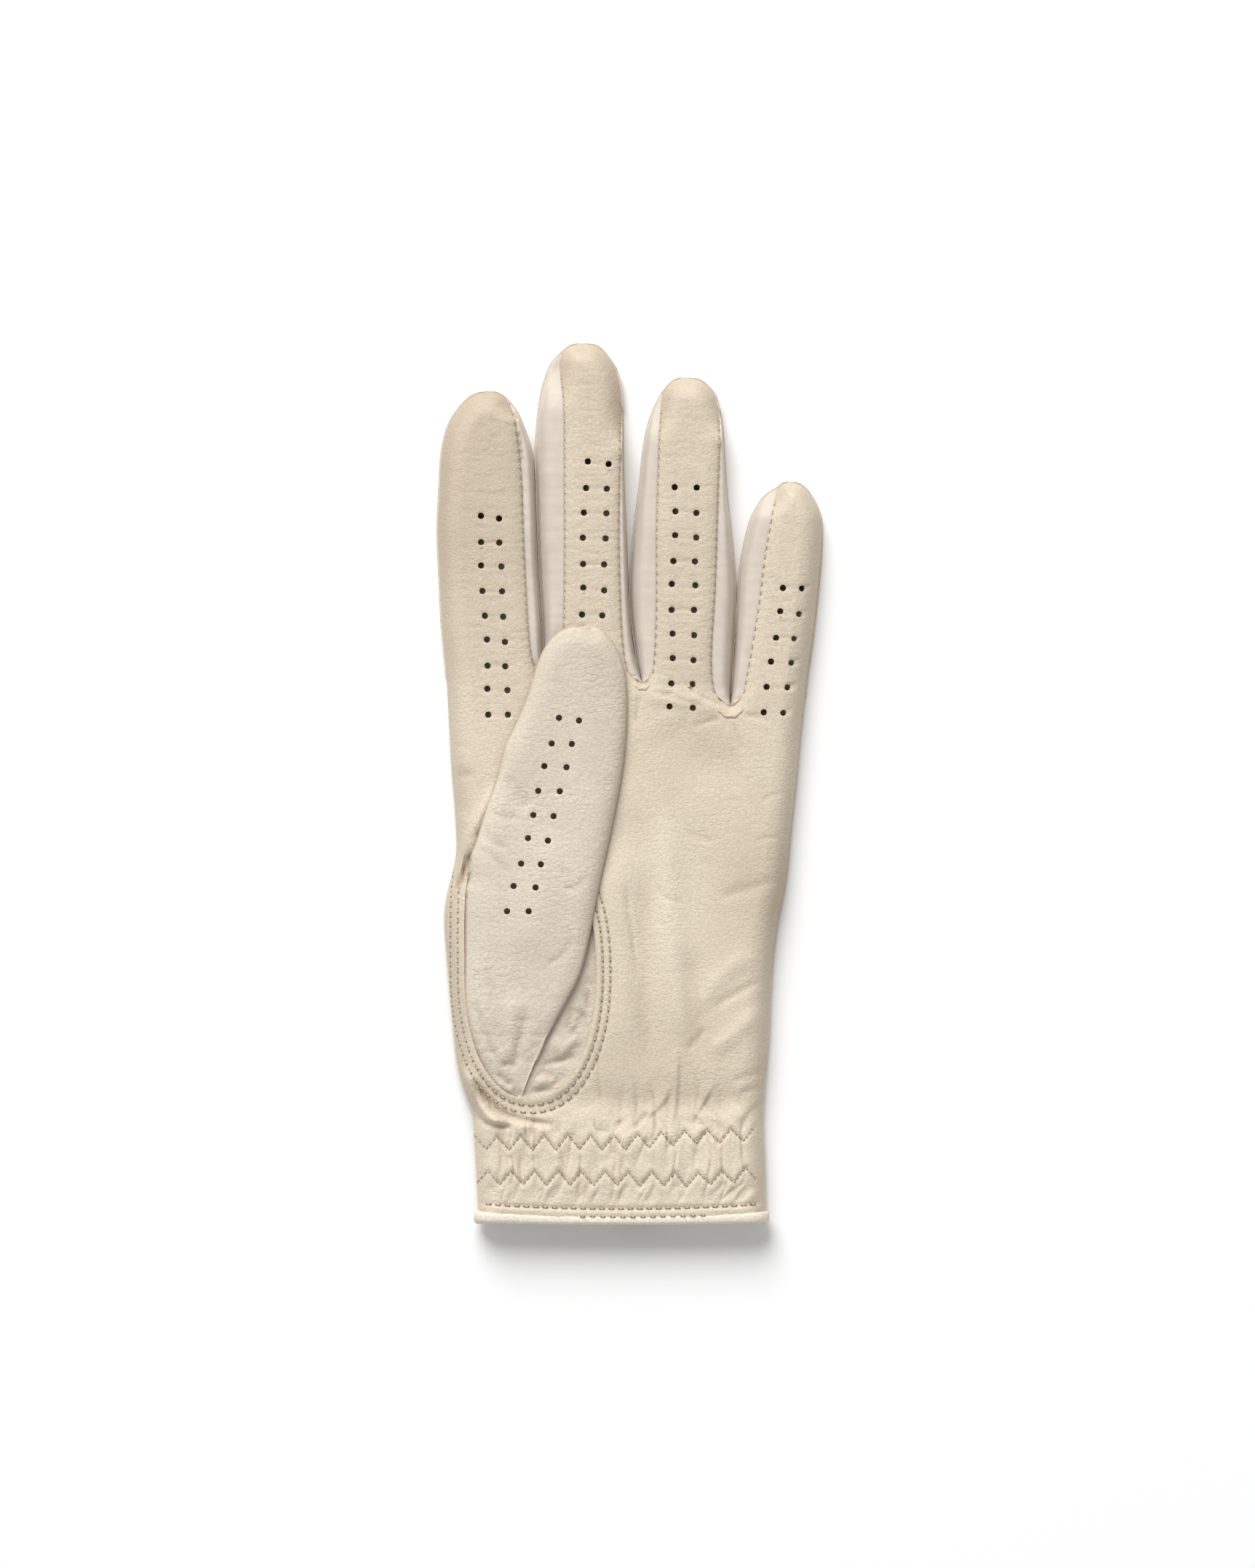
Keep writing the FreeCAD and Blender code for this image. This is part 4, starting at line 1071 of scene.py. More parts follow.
class GLOVE_OT_fingers(bpy.types.Operator):
    """Builds the front leather of the four fingers, with its punched holes"""
    bl_idname = "glove.fingers"
    bl_label = "Finger leather"

    def execute(self, context):
        for name in NAMES:
            self.finger(name)
        return {"FINISHED"}

    def finger(self, name):
        left_line, right_line = tip_edges(*FRONT_LINES[name])
        _, foot_y = foot_row(name)
        low = max(foot_y)
        heights = steps_up(low, left_line[-1, 1], 9.0, sizes().spacing / MM * 0.92)
        x, y = finger_grid(finger_columns(name), foot_y, low, heights, left_line, right_line)
        keep = np.ones((x.shape[0] - 1, x.shape[1] - 1), bool)
        z = front_height(x, y)
        punch(x, y, keep, punch_places(name), sizes().punch / MM, 0.12, z)
        points = np.stack([x, y, z], axis=-1)
        piece = add_piece(name + "_leather", points, grid_faces(x.shape, keep), palm_leather(),
                          front_tint(x, y, z))
        thicken(piece, sizes().leather / MM)
        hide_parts(name + "_front")
        bend(piece, name)


def bend(piece, name):
    """Bakes a finger piece's place into its mesh. The two points it works out on the finger's fold are not
    used.
    """
    x = (FRONT_LINES[name][0][3][0] + FRONT_LINES[name][1][3][0]) / 2
    spot(x, FOLD_AT[name] - 9, 5)
    spot(x, FOLD_AT[name] + 9, 5)
    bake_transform(piece)


class GLOVE_OT_fourchettes(bpy.types.Operator):
    """Builds the side walls between the fingers"""
    bl_idname = "glove.fourchettes"
    bl_label = "Fourchettes"

    def execute(self, context):
        webs = {"index": "fourchette_index_middle", "middle": "fourchette_middle_ring",
                "ring": "fourchette_ring_little"}
        for (name, side), foot in FOOT_LINES.items():
            piece = self.wall(name, side, foot)
            nodes = [name + "_fourchette_" + side]
            if side == "right":
                nodes.append(webs[name])
            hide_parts(*nodes)
            bend(piece, name)
        return {"FINISHED"}

    def wall(self, name, side, foot):
        seam = tip_edges(*FRONT_LINES[name])[0 if side == "left" else 1]
        foot = curve_through(foot, 0.4)
        inwards = 1 if side == "left" else -1
        level = steps_up(foot[0][1], foot[-1][1], 6.0, 0.7)[:, None]
        down = np.sin(np.linspace(0, np.pi / 2, 22))[None, :]
        seam_x = np.interp(level, seam[:, 1], seam[:, 0])
        foot_x = np.interp(level, foot[:, 1], foot[:, 0])
        seam_z = front_height(seam_x + 0.25 * inwards, level, False) - 0.5
        x = seam_x + (foot_x - seam_x) * down
        y = np.broadcast_to(level, x.shape).copy()
        wide = np.abs(foot_x - seam_x)
        z = 0.8 + (seam_z - 0.8) * (1 - down ** (4.4 + 3.6 * np.clip(1 - wide / 6, 0, 1)))
        z = z + 0.5 * (noise(x / 4, y / 12, 41) - 0.5) * np.sin(down * np.pi) * np.minimum(wide / 3, 1)
        # the cloth starts under the leather of the finger
        x = np.hstack([x[:, :1] + 0.5 * inwards, x])
        y = np.hstack([y[:, :1], y])
        z = np.hstack([z[:, :1] - 0.35, z])
        points = np.stack([x, y, z], axis=-1)
        material = cloth("brushed_fourchette_suede", colours().fourchette, 1700, 0.06)
        piece = add_piece(name + "_fourchette_" + side + "_wall", points,
                          grid_faces(x.shape, None, 0, side == "left"), material)
        return thicken(piece, 0.45)


class GLOVE_OT_thumb(bpy.types.Operator):
    """Builds the thumb in two pieces, its base and its end, and its foot in the oval"""
    bl_idname = "glove.thumb"
    bl_label = "Thumb"

    def execute(self, context):
        base, end = self.grid(-60, THUMB_SPLIT), self.grid(THUMB_SPLIT, 200)
        lower = self.piece("thumb_leather_base", *base)
        upper = self.piece("thumb_leather_end", *end)
        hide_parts("thumb_front", "thumb_back")
        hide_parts("thumb_tip_front", "thumb_tip_back")
        self.along(-18)
        self.along(26)
        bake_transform(lower)
        self.along(THUMB_FOLD - 2)
        self.along(THUMB_FOLD + 14)
        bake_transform(upper)
        self.foot()
        return {"FINISHED"}

    def along(self, distance):
        return spot(THUMB_PIVOT[0] + distance * math.sin(THUMB_LEAN),
                    THUMB_PIVOT[1] + distance * math.cos(THUMB_LEAN), 12)

    def to_thumb(self, line):
        """Points of the drawing as (across the thumb, along the thumb), from its pivot."""
        p = line - np.array(THUMB_PIVOT)
        c, s = math.cos(THUMB_LEAN), math.sin(THUMB_LEAN)
        return np.column_stack([p[:, 0] * c - p[:, 1] * s, p[:, 0] * s + p[:, 1] * c])

    def rim(self):
        """The thumb's left and right edges, from its foot to the top of its tip. Low down the left one runs
        under the palm leather, beside the oval."""
        line = curve_through(THUMB_LEFT + THUMB_RIGHT[::-1][1:], 0.5)
        top = int(np.argmax(self.to_thumb(line)[:, 1]))
        y = np.linspace(33.4, 88.0, 40)
        tucked = np.column_stack([oval_sides(y, 1.1)[0], y])
        return np.vstack([[THUMB_RIGHT[0], (-31.8, 32.6)], tucked, line[:top + 1]]), line[top:][::-1]

    def grid(self, low, high):
        left, right = (self.to_thumb(line) for line in self.rim())
        right[:, 1] = np.maximum.accumulate(right[:, 1])
        bottom, top = left[0, 1], left[-1, 1]
        order = np.maximum.accumulate(left[:, 1])
        heights = steps_up(bottom, top, 11.0, 0.55)
        cut = [h for h in heights if low + 0.2 < h < high - 0.2]
        if low > bottom:
            cut = [low] + cut
        else:
            cut = [bottom] + cut[1:]
        if high < top:
            cut = cut + [high]
        level = np.array(cut)[:, None]
        share = spread(50, 0.14, 0.14, 8)[None, :]
        left_x = np.interp(level, order + np.arange(len(order)) * 1e-9, left[:, 0])
        right_x = np.interp(level, right[:, 1], right[:, 0])
        across = left_x + (np.maximum(right_x, left_x + 0.02) - left_x) * share
        c, s = math.cos(THUMB_LEAN), math.sin(THUMB_LEAN)
        x = THUMB_PIVOT[0] + across * c + level * s
        y = THUMB_PIVOT[1] - across * s + level * c
        return x, y

    def heights(self, x, y):
        """The top and the underside of the thumb."""
        left_line, right_line = self.rim()
        left, right = away_from(x, y, left_line[2:]), away_from(x, y, right_line)
        free = ease((y - 86) / 14)
        crown = FRONT_TOP + 3.1 + 1.4 * ease((y - 60) / 30) - 3.2 * ease((58 - y) / 26)
        left_edge = FRONT_TOP - 0.95 + 2.3 * free
        right_edge = FRONT_TOP + 1.3 - 1.25 * ease((52 - y) / 16)
        shoulder = rounded((left - 0.1 - 1.1 * (1 - free)) / (8.5 - 3.0 * free))
        top = crown - (crown - left_edge) * (1 - shoulder)
        top = top - (crown - right_edge) * (1 - rounded((right - 0.1) / 4.5))
        top = top - 1.3 * ease((36.5 - y) / 4)
        calm = np.minimum(ease(left / 2.5), ease(right / 1.5))
        rough = 0.9 * (noise(x / 14, y / 18, 51) - 0.5) + 0.07 * wrinkles(x / 6, y / 3.4, 52, 4.0)
        slack = ease((78 - y) / 34)
        rough = rough + slack * 0.2 * wrinkles(x / 5 + 0.6 * noise(x / 4, y / 4, 53), y / 4.0, 54, 3.4)
        rough = with_folds(rough, x, y, THUMB_FOLDS)
        top = top + rough * calm
        floor = FRONT_TOP + 1.1 - 2.05 * (1 - free) * (1 - ease(left / 8))
        under = np.minimum(top - 0.9 * ease(np.minimum(left, right) / 1.2), floor)
        return top, under

    def piece(self, name, x, y):
        top, under = self.heights(x, y)
        under[:, 0], under[:, -1] = top[:, 0], top[:, -1]
        # painted shade in the creases and on the right slope of the thumb, and darker towards the tip
        shade = np.clip(1.3 * hollows(top) + 0.14 * ease((y - 105) / 45) + 0.16 * ease((x + 15) / 9), 0, 1)
        keep = np.ones((x.shape[0] - 1, x.shape[1] - 1), bool)
        below = np.stack([x, y, under], -1).reshape(-1, 3)
        punch(x, y, keep, punch_places("thumb"), sizes().punch / MM, 0.1, top)
        points = np.concatenate([np.stack([x, y, top], -1).reshape(-1, 3), below])
        faces = grid_faces(x.shape, keep) + grid_faces(x.shape, None, x.size, True)
        # the underside, seen through the holes, a little darker
        tint = np.concatenate([shade.ravel(), 0.1 + np.zeros(x.size)])
        piece = add_piece(name, points, faces, thumb_leather(), tint)
        thicken(piece, 0.5)
        return piece

    def foot(self):
        """The layer of thumb leather that lies in the oval, beside the fold of the thumb."""
        low, high = OVAL[1] - OVAL[3] - 1.3, OVAL[1] + OVAL[3] + 1.3
        turn = np.linspace(0, np.pi / 2, 14)[1:-1]
        level = np.concatenate([low + 5 - 5 * np.cos(turn), np.linspace(low + 5, high - 5, 104)[1:-1],
                                high - 5 + 5 * np.sin(turn)])[:, None]
        share = spread(54, 0.12, 0.12, 7)[None, :]
        left, right = oval_sides(level, 1.3)
        x = left + (right - left) * share
        y = np.broadcast_to(level, x.shape).copy()
        inside = np.clip((1 - oval_level(x, y)) * 17, 0, 6)
        rough = 0.5 * wrinkles(x / 4.4 + 0.5 * noise(x / 3, y / 3, 61), y / 6, 62, 2.6)
        rough = rough + 0.6 * (noise(x / 4.5, y / 6, 63) - 0.5)
        rough = with_folds(rough, x, y, GUSSET_FOLDS)
        covered = np.interp(y, OUTLINE.thumb_right[:, 1], OUTLINE.thumb_right[:, 0]) - x
        calm = ease(inside / 1.6) * (0.35 + 0.65 * ease(np.abs(covered + 0.5) / 3))
        z = FRONT_TOP - 0.85 + 0.55 * ease(inside / 4) + rough * calm - 2.1 * ease((covered - 0.4) / 3)
        points = np.stack([x, y, z], axis=-1)
        # painted shade in the creases, over a slightly darker base
        tint = 0.08 + 1.2 * hollows(z)
        piece = add_piece("thumb_foot", points, grid_faces(x.shape), thumb_leather(), tint)
        thicken(piece, 0.5)
        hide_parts("thumb_gusset")
        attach(piece, "hand")


class GLOVE_OT_back(bpy.types.Operator):
    """Builds the leather on the back of the hand and of the fingers"""
    bl_idname = "glove.back"
    bl_label = "Back leather"

    def execute(self, context):
        self.hand()
        for name in NAMES:
            self.finger(name)
        return {"FINISHED"}

    def lines(self, name):
        """The left and right edges of the back leather of a finger."""
        front_left, front_right = FRONT_LINES[name]
        left = FOOT_LINES.get((name, "left"), front_left[:-3])
        right = FOOT_LINES.get((name, "right"), front_right[:-3])
        tip_left = [p for p in front_left if p[1] > left[-1][1] + 0.5]
        tip_right = [p for p in front_right if p[1] > right[-1][1] + 0.5]
        return list(left) + tip_left, list(right) + tip_right

    def level(self, x, y):
        return 0.05 + 0.4 * noise(x / 16, y / 18, 72) * ease((y - 60) / 20)

    def finger(self, name):
        left, right = tip_edges(*self.lines(name))
        high = left[-1, 1]
        left_y, right_y = left[0][1], right[0][1]
        share = spread(30, 0.08, 0.08, 4)
        foot_y = left_y + (right_y - left_y) * share
        low = max(left_y, right_y)
        x, y = finger_grid(share, foot_y, low, steps_up(low, high, 8.0, 0.9), left, right)
        middle = x.mean(axis=1, keepdims=True)
        reach = 1 + 0.3 / np.maximum(np.abs(x - middle).max(axis=1, keepdims=True), 1.5)
        x = middle + (x - middle) * reach
        y = np.where(y > high - 6, y + 0.3 * (y - high + 6) / 6, y)
        above = ease((y - low) / 12)
        z = self.level(x, y) * (1 - above) + (0.02 + 0.25 * noise(x / 8, y / 9, 71)) * above
        z = z + 0.35 * np.abs(2 * share - 1)[None, :] ** 6 * above
        points = np.stack([x, y, z], axis=-1)
        piece = add_piece(name + "_back_leather", points, grid_faces(x.shape, None, 0, True),
                          back_leather())
        thicken(piece, 0.6, edge_leather())
        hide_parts(name + "_back")
        bend(piece, name)

    def hand(self):
        shares, heights = [], []
        for k, name in enumerate(NAMES):
            left, right = self.lines(name)
            share = spread(30, 0.08, 0.08, 4)
            x = left[0][0] + (right[0][0] - left[0][0]) * share
            y = left[0][1] + (right[0][1] - left[0][1]) * share
            shares.append(x if k == 0 else x[1:])
            heights.append(y if k == 0 else y[1:])
        top_x, top_y = np.concatenate(shares), np.concatenate(heights)
        share = (top_x - OUTLINE.left(top_y)) / (OUTLINE.right(top_y) - OUTLINE.left(top_y))
        middle, width, long = SLIT
        rise = np.linspace(0, 1, 150)[:, None]
        y = 2.4 + rise * (top_y - 2.4)[None, :]
        x = OUTLINE.left(y) + share[None, :] * (OUTLINE.right(y) - OUTLINE.left(y))
        half = width / 2 * np.clip(1 - (y + 1) / (long + 1), 0, 1)
        split = int(np.argmin(np.abs(x[40] - middle)))
        left_edge, right_edge = OUTLINE.left(y), OUTLINE.right(y)
        line = middle + 0 * y
        divide = x[:, split:split + 1]
        left_part = left_edge + (x - left_edge) / (divide - left_edge) * (line - half - left_edge)
        right_part = right_edge - (right_edge - x) / (right_edge - divide) * (right_edge - line - half)
        for part, columns, label in ((left_part, slice(0, split + 1), "left"),
                                     (right_part, slice(split, None), "right")):
            settle = ease((y[:, columns] - long - 1) / 14)
            px = part[:, columns] * (1 - settle) + x[:, columns] * settle
            py = y[:, columns]
            lift = BACK_LIFT * (1 - ease((py - long) / 14))
            pz = lift + self.level(px, py)
            inner = np.minimum(px - OUTLINE.left(py), OUTLINE.right(py) - px)
            pz = pz + 0.5 * np.exp(-(inner / 1.2) ** 2) * (1 - ease((py - 122) / 12))
            points = np.stack([px, py, pz], axis=-1)
            piece = add_piece("back_leather_" + label, points, grid_faces(px.shape, None, 0, True),
                              back_leather())
            thicken(piece, 0.7, edge_leather())
            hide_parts("back_panel")
            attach(piece, "hand")


# ---- stitches and the cuff ---------------------------------------------------------------------------
STITCH_LIFT = 0.27               # the middle of the thread above the bottom of its groove


def stitch_points(start, end, radius, sides=6):
    """One stitch: a short round-ended thread from start to end that dips at both ends."""
    a, b = np.array(start, float), np.array(end, float)
    run = b - a
    reach = np.linalg.norm(run)
    run = run / reach
    side = np.cross(run, (0, 0, 1.0))
    side = side / np.linalg.norm(side)
    up = np.cross(side, run)
    points, faces, tint = [], [], []
    rings = [(0.0, 0.75, 0.0), (0.16, 1.2, 0.2), (0.34, 0.9, 0.5),   # place along it, thickness, height
             (0.66, 0.9, 0.5), (0.84, 1.2, 0.2), (1.0, 0.75, 0.0)]
    for share, thick, lift in rings:
        centre = a + run * reach * share + up * radius * lift
        for k in range(sides):
            turn = 2 * math.pi * k / sides
            points.append(centre + (side * math.cos(turn) + up * math.sin(turn)) * radius * thick)
            # painted shade on the ends, where the thread dips into the needle holes
            tint.append(0.15 if 0.2 < share < 0.8 else 0.8)
    for r in range(len(rings) - 1):
        for k in range(sides):
            a0, a1 = r * sides + k, r * sides + (k + 1) % sides
            faces.append((a0, a1, a1 + sides, a0 + sides))
    faces.append(tuple(range(sides))[::-1])
    last = (len(rings) - 1) * sides
    faces.append(tuple(last + k for k in range(sides)))
    return points, faces, tint


def walk(line, pitch, closed=False):
    """Pairs of points, a pitch apart along a line of plan points."""
    p = np.vstack([line, line[:1]]) if closed else line
    reach = np.concatenate([[0], np.cumsum(np.linalg.norm(np.diff(p, axis=0), axis=1))])
    count = max(1, int(reach[-1] / pitch))
    at = np.linspace(0, reach[-1], count + 1)
    return np.column_stack([np.interp(at, reach, p[:, 0]), np.interp(at, reach, p[:, 1])])


def sewn_row(line, pitch, share, height, closed=False):
    """The ends of the stitches along a line, with the leather's height under them."""
    places = walk(line, pitch, closed)
    starts, ends = places[:-1], places[:-1] + (places[1:] - places[:-1]) * share
    z0, z1 = (height(p[:, 0], p[:, 1]) + STITCH_LIFT for p in (starts, ends))
    return [((*s, a), (*e, b)) for s, e, a, b in zip(starts, ends, z0, z1)]


def sew(name, stitches, radius, nodes):
    """One piece with all the stitches of a row. Their ends, in the needle holes, are darkened with painted
    shade.
    """
    points, faces, tint = [], [], []
    for start, end in stitches:
        p, f, t = stitch_points(start, end, radius)
        faces += [tuple(k + len(points) for k in face) for face in f]
        points += p
        tint += t
    piece = add_piece(name, points, faces, thread_cloth(), tint)
    if nodes:
        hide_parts(*nodes)
    return piece


def thread_cloth():
    return cloth("spun_thread", colours().thread, 5200, 0.05, 0.8, 0.05, 0.2)


class GLOVE_OT_stitching(bpy.types.Operator):
    """Sews the thumb seam, the zigzags over the elastic, the hem and the crotches"""
    bl_idname = "glove.stitching"
    bl_label = "Stitching"

    def execute(self, context):
        s = sizes()
        pitch, share = s.stitch_pitch / MM, s.stitch / s.stitch_pitch
        radius = s.thread / MM
        rows = []
        for grow in SEAM_ROWS:
            row = sewn_row(oval_line(grow), pitch, share, front_height, True)
            rows += [stitch for stitch in row if stitch[0][1] < SEAM_TOP]
        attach(sew("thumb_seam_thread", rows, radius, ["thumb_seam_stitching"]), "hand")
        rows = []
        for which in range(2):
            line = zigzag_line(which)
            for a, b in zip(line, line[1:]):
                rows += sewn_row(np.array([a, b]), 1.2, 0.55, front_height)
        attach(sew("zigzag_thread", rows, radius * 0.7, ["cuff_zigzag_stitching"]), "hand")
        x = np.linspace(HEM_LEFT + 2.2, PALM_RIGHT[0][0] - 1.6, 60)
        rows = sewn_row(np.column_stack([x, hem_row(x)]), 2.4, 0.6, front_height)
        x = np.linspace(-13, 21, 40)
        rows += sewn_row(np.column_stack([x, binding_top(x) + 0.1]), 2.6, 0.5, front_height)
        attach(sew("hem_thread", rows, radius * 0.9, ["hem_stitching"]), "hand")
        for name in NAMES:
            self.seams(name, radius * 0.6)
        self.crotches()
        return {"FINISHED"}

    def seams(self, name, radius):
        """The short stitches that show along the seams of a finger."""
        rows = []
        for side, inwards in ((0, 1), (1, -1)):
            label = "left" if side == 0 else "right"
            if (name, label) not in FOOT_LINES:
                continue
            line = curve_through(FRONT_LINES[name][side][1:-3], 0.5)
            line = line + np.array([0.35 * inwards, 0])
            rows += sewn_row(line, 2.3, 0.42, front_height)
        bend(sew(name + "_seam_thread", rows, radius, []), name)

    def crotches(self):
        """A small gathered loop of leather at the foot of each gap between two fingers."""
        points, faces = [], []
        for x, y in CROTCHES:
            wide = 3.3 if x > 20 else 2.0
            turn = np.linspace(math.pi, 2 * math.pi, 24)
            for layer in range(3):
                reach = wide * (1 - 0.24 * layer)
                ripple = 0.12 * np.sin(9 * turn + layer)
                px = x + (reach + ripple) * np.cos(turn)
                py = y + 0.5 + (0.8 * reach + 0.5 + ripple) * np.sin(turn)
                z = front_height(px, py) - 0.05 - 0.4 * layer
                fat = (0.56 - 0.07 * layer) * (0.45 + 0.55 * np.sin(turn - math.pi))
                rings = []
                for k in range(len(turn)):
                    out = np.array([math.cos(turn[k]), math.sin(turn[k])])
                    around = np.linspace(0, 2 * math.pi, 9)[:-1]
                    rings.append([(px[k] + out[0] * fat[k] * math.cos(a),
                                   py[k] + out[1] * fat[k] * math.cos(a),
                                   z[k] + fat[k] * math.sin(a)) for a in around])
                join(points, faces, rings)
        # the loops are darkened evenly with painted shade, as they sit in the V between the fingers
        piece = add_piece("crotch_loops", points, faces, palm_leather(), np.full(len(points), 0.28))
        fix_normals(piece)
        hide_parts("crotch_tacks")
        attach(piece, "hand")


def join(points, faces, rings):
    """Adds a solid bar to points and faces: rings of equal count, joined one to the next, closed at both
    ends."""
    start, count = len(points), len(rings[0])
    for ring in rings:
        points += [tuple(p) for p in ring]
    for k in range(len(rings) - 1):
        for j in range(count):
            a, b = start + k * count + j, start + k * count + (j + 1) % count
            faces.append((a, b, b + count, a + count))
    faces.append(tuple(start + j for j in range(count))[::-1])
    last = start + (len(rings) - 1) * count
    faces.append(tuple(last + j for j in range(count)))


# A cut through the folded binding: how far from its folded edge, and how far outwards.
BINDING_DEPTH = 3.1
BINDING_SECTION = [(BINDING_DEPTH, 0.62), (2.9, 0.86), (2.2, 0.98), (1.4, 1.0), (0.75, 0.88), (0.3, 0.6),
                   (0.05, 0.25), (0.0, 0.0), (0.05, -0.25), (0.3, -0.55), (0.75, -0.75), (1.4, -0.8),
                   (2.9, -0.7), (BINDING_DEPTH, -0.5)]


class GLOVE_OT_cuff(bpy.types.Operator):
    """Builds the binding round the hem and the elastic tapes inside the cuff"""
    bl_idname = "glove.cuff"
    bl_label = "Cuff"

    def execute(self, context):
        left, right = HEM_LEFT, PALM_RIGHT[0][0]
        top = FRONT_TOP - 0.9
        corner = 4.5
        turn = np.linspace(0, np.pi / 2, 12)
        loop = [(x, 2.0) for x in np.linspace(SLIT[0] + 4.6, right - 2, 24)]
        loop += [(right - 2 + 2 * math.sin(a), 4.0 - 2 * math.cos(a)) for a in turn[1:]]
        loop += [(right - corner + corner * math.cos(a), top - corner + corner * math.sin(a)) for a in turn]
        loop += [(x, top) for x in np.linspace(right - corner, left + corner, 70)[1:-1]]
        loop += [(left + corner - corner * math.sin(a), top - corner + corner * math.cos(a)) for a in turn]
        loop += [(left + 2 - 2 * math.cos(a), 4.0 - 2 * math.sin(a)) for a in turn[:-1]]
        loop += [(x, 2.0) for x in np.linspace(left + 2, SLIT[0] - 4.6, 24)]
        path = np.array(loop)
        ahead = np.gradient(path, axis=0)
        ahead /= np.linalg.norm(ahead, axis=1)[:, None]
        outward = np.column_stack([ahead[:, 1], -ahead[:, 0]])
        rings = []
        for (px, pz), (ox, oz) in zip(path, outward):
            ripple = 0.10 * (float(noise(np.array(px / 2.2), np.array(pz / 2.2), 81)) - 0.5)
            nose = 0.05 + 0.45 * sag(px) * (pz > 5)
            high = binding_top(px) if pz > 5 else BINDING_DEPTH
            rings.append([(px + ox * (b + ripple), nose + a * (high - nose) / BINDING_DEPTH,
                           pz + oz * (b + ripple)) for a, b in BINDING_SECTION])
        points, faces = [], []
        join(points, faces, rings)
        material = leather("binding_leather", colours().binding, 1.1, 0.3)
        piece = add_piece("hem_binding", points, faces, material)
        fix_normals(piece)
        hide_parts("cuff_binding")
        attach(piece, "hand")
        elastic = cloth("elastic_tape", colours().elastic, 1300, 0.3, 0.8, 0.1)
        for which, node in ((1, "wrist_elastic_lower"), (0, "wrist_elastic_upper")):
            x = np.linspace(left + 2.5, right - 2.5, 150)[None, :]
            across = np.linspace(-2.8, 2.8, 9)[:, None]
            line = curve_through(ZIGZAGS[which][0], 3.0)
            y = np.interp(x, line[:, 0], line[:, 1]) + across
            x = np.broadcast_to(x, y.shape)
            under = FRONT_TOP - 2.9 + 0.18 * np.sin(x * 2.1)
            z = under - 1.6 * (1 - rounded(np.minimum(x - left, right - x) / 6))
            tape = add_piece(node + "_tape", np.stack([x, y, z], axis=-1), grid_faces(x.shape), elastic)
            thicken(tape, 0.6)
            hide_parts(node)
            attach(tape, "hand")
        return {"FINISHED"}


def fix_normals(piece):
    work = bmesh.new()
    work.from_mesh(piece.data)
    bmesh.ops.recalc_face_normals(work, faces=work.faces)
    work.to_mesh(piece.data)
    work.free()


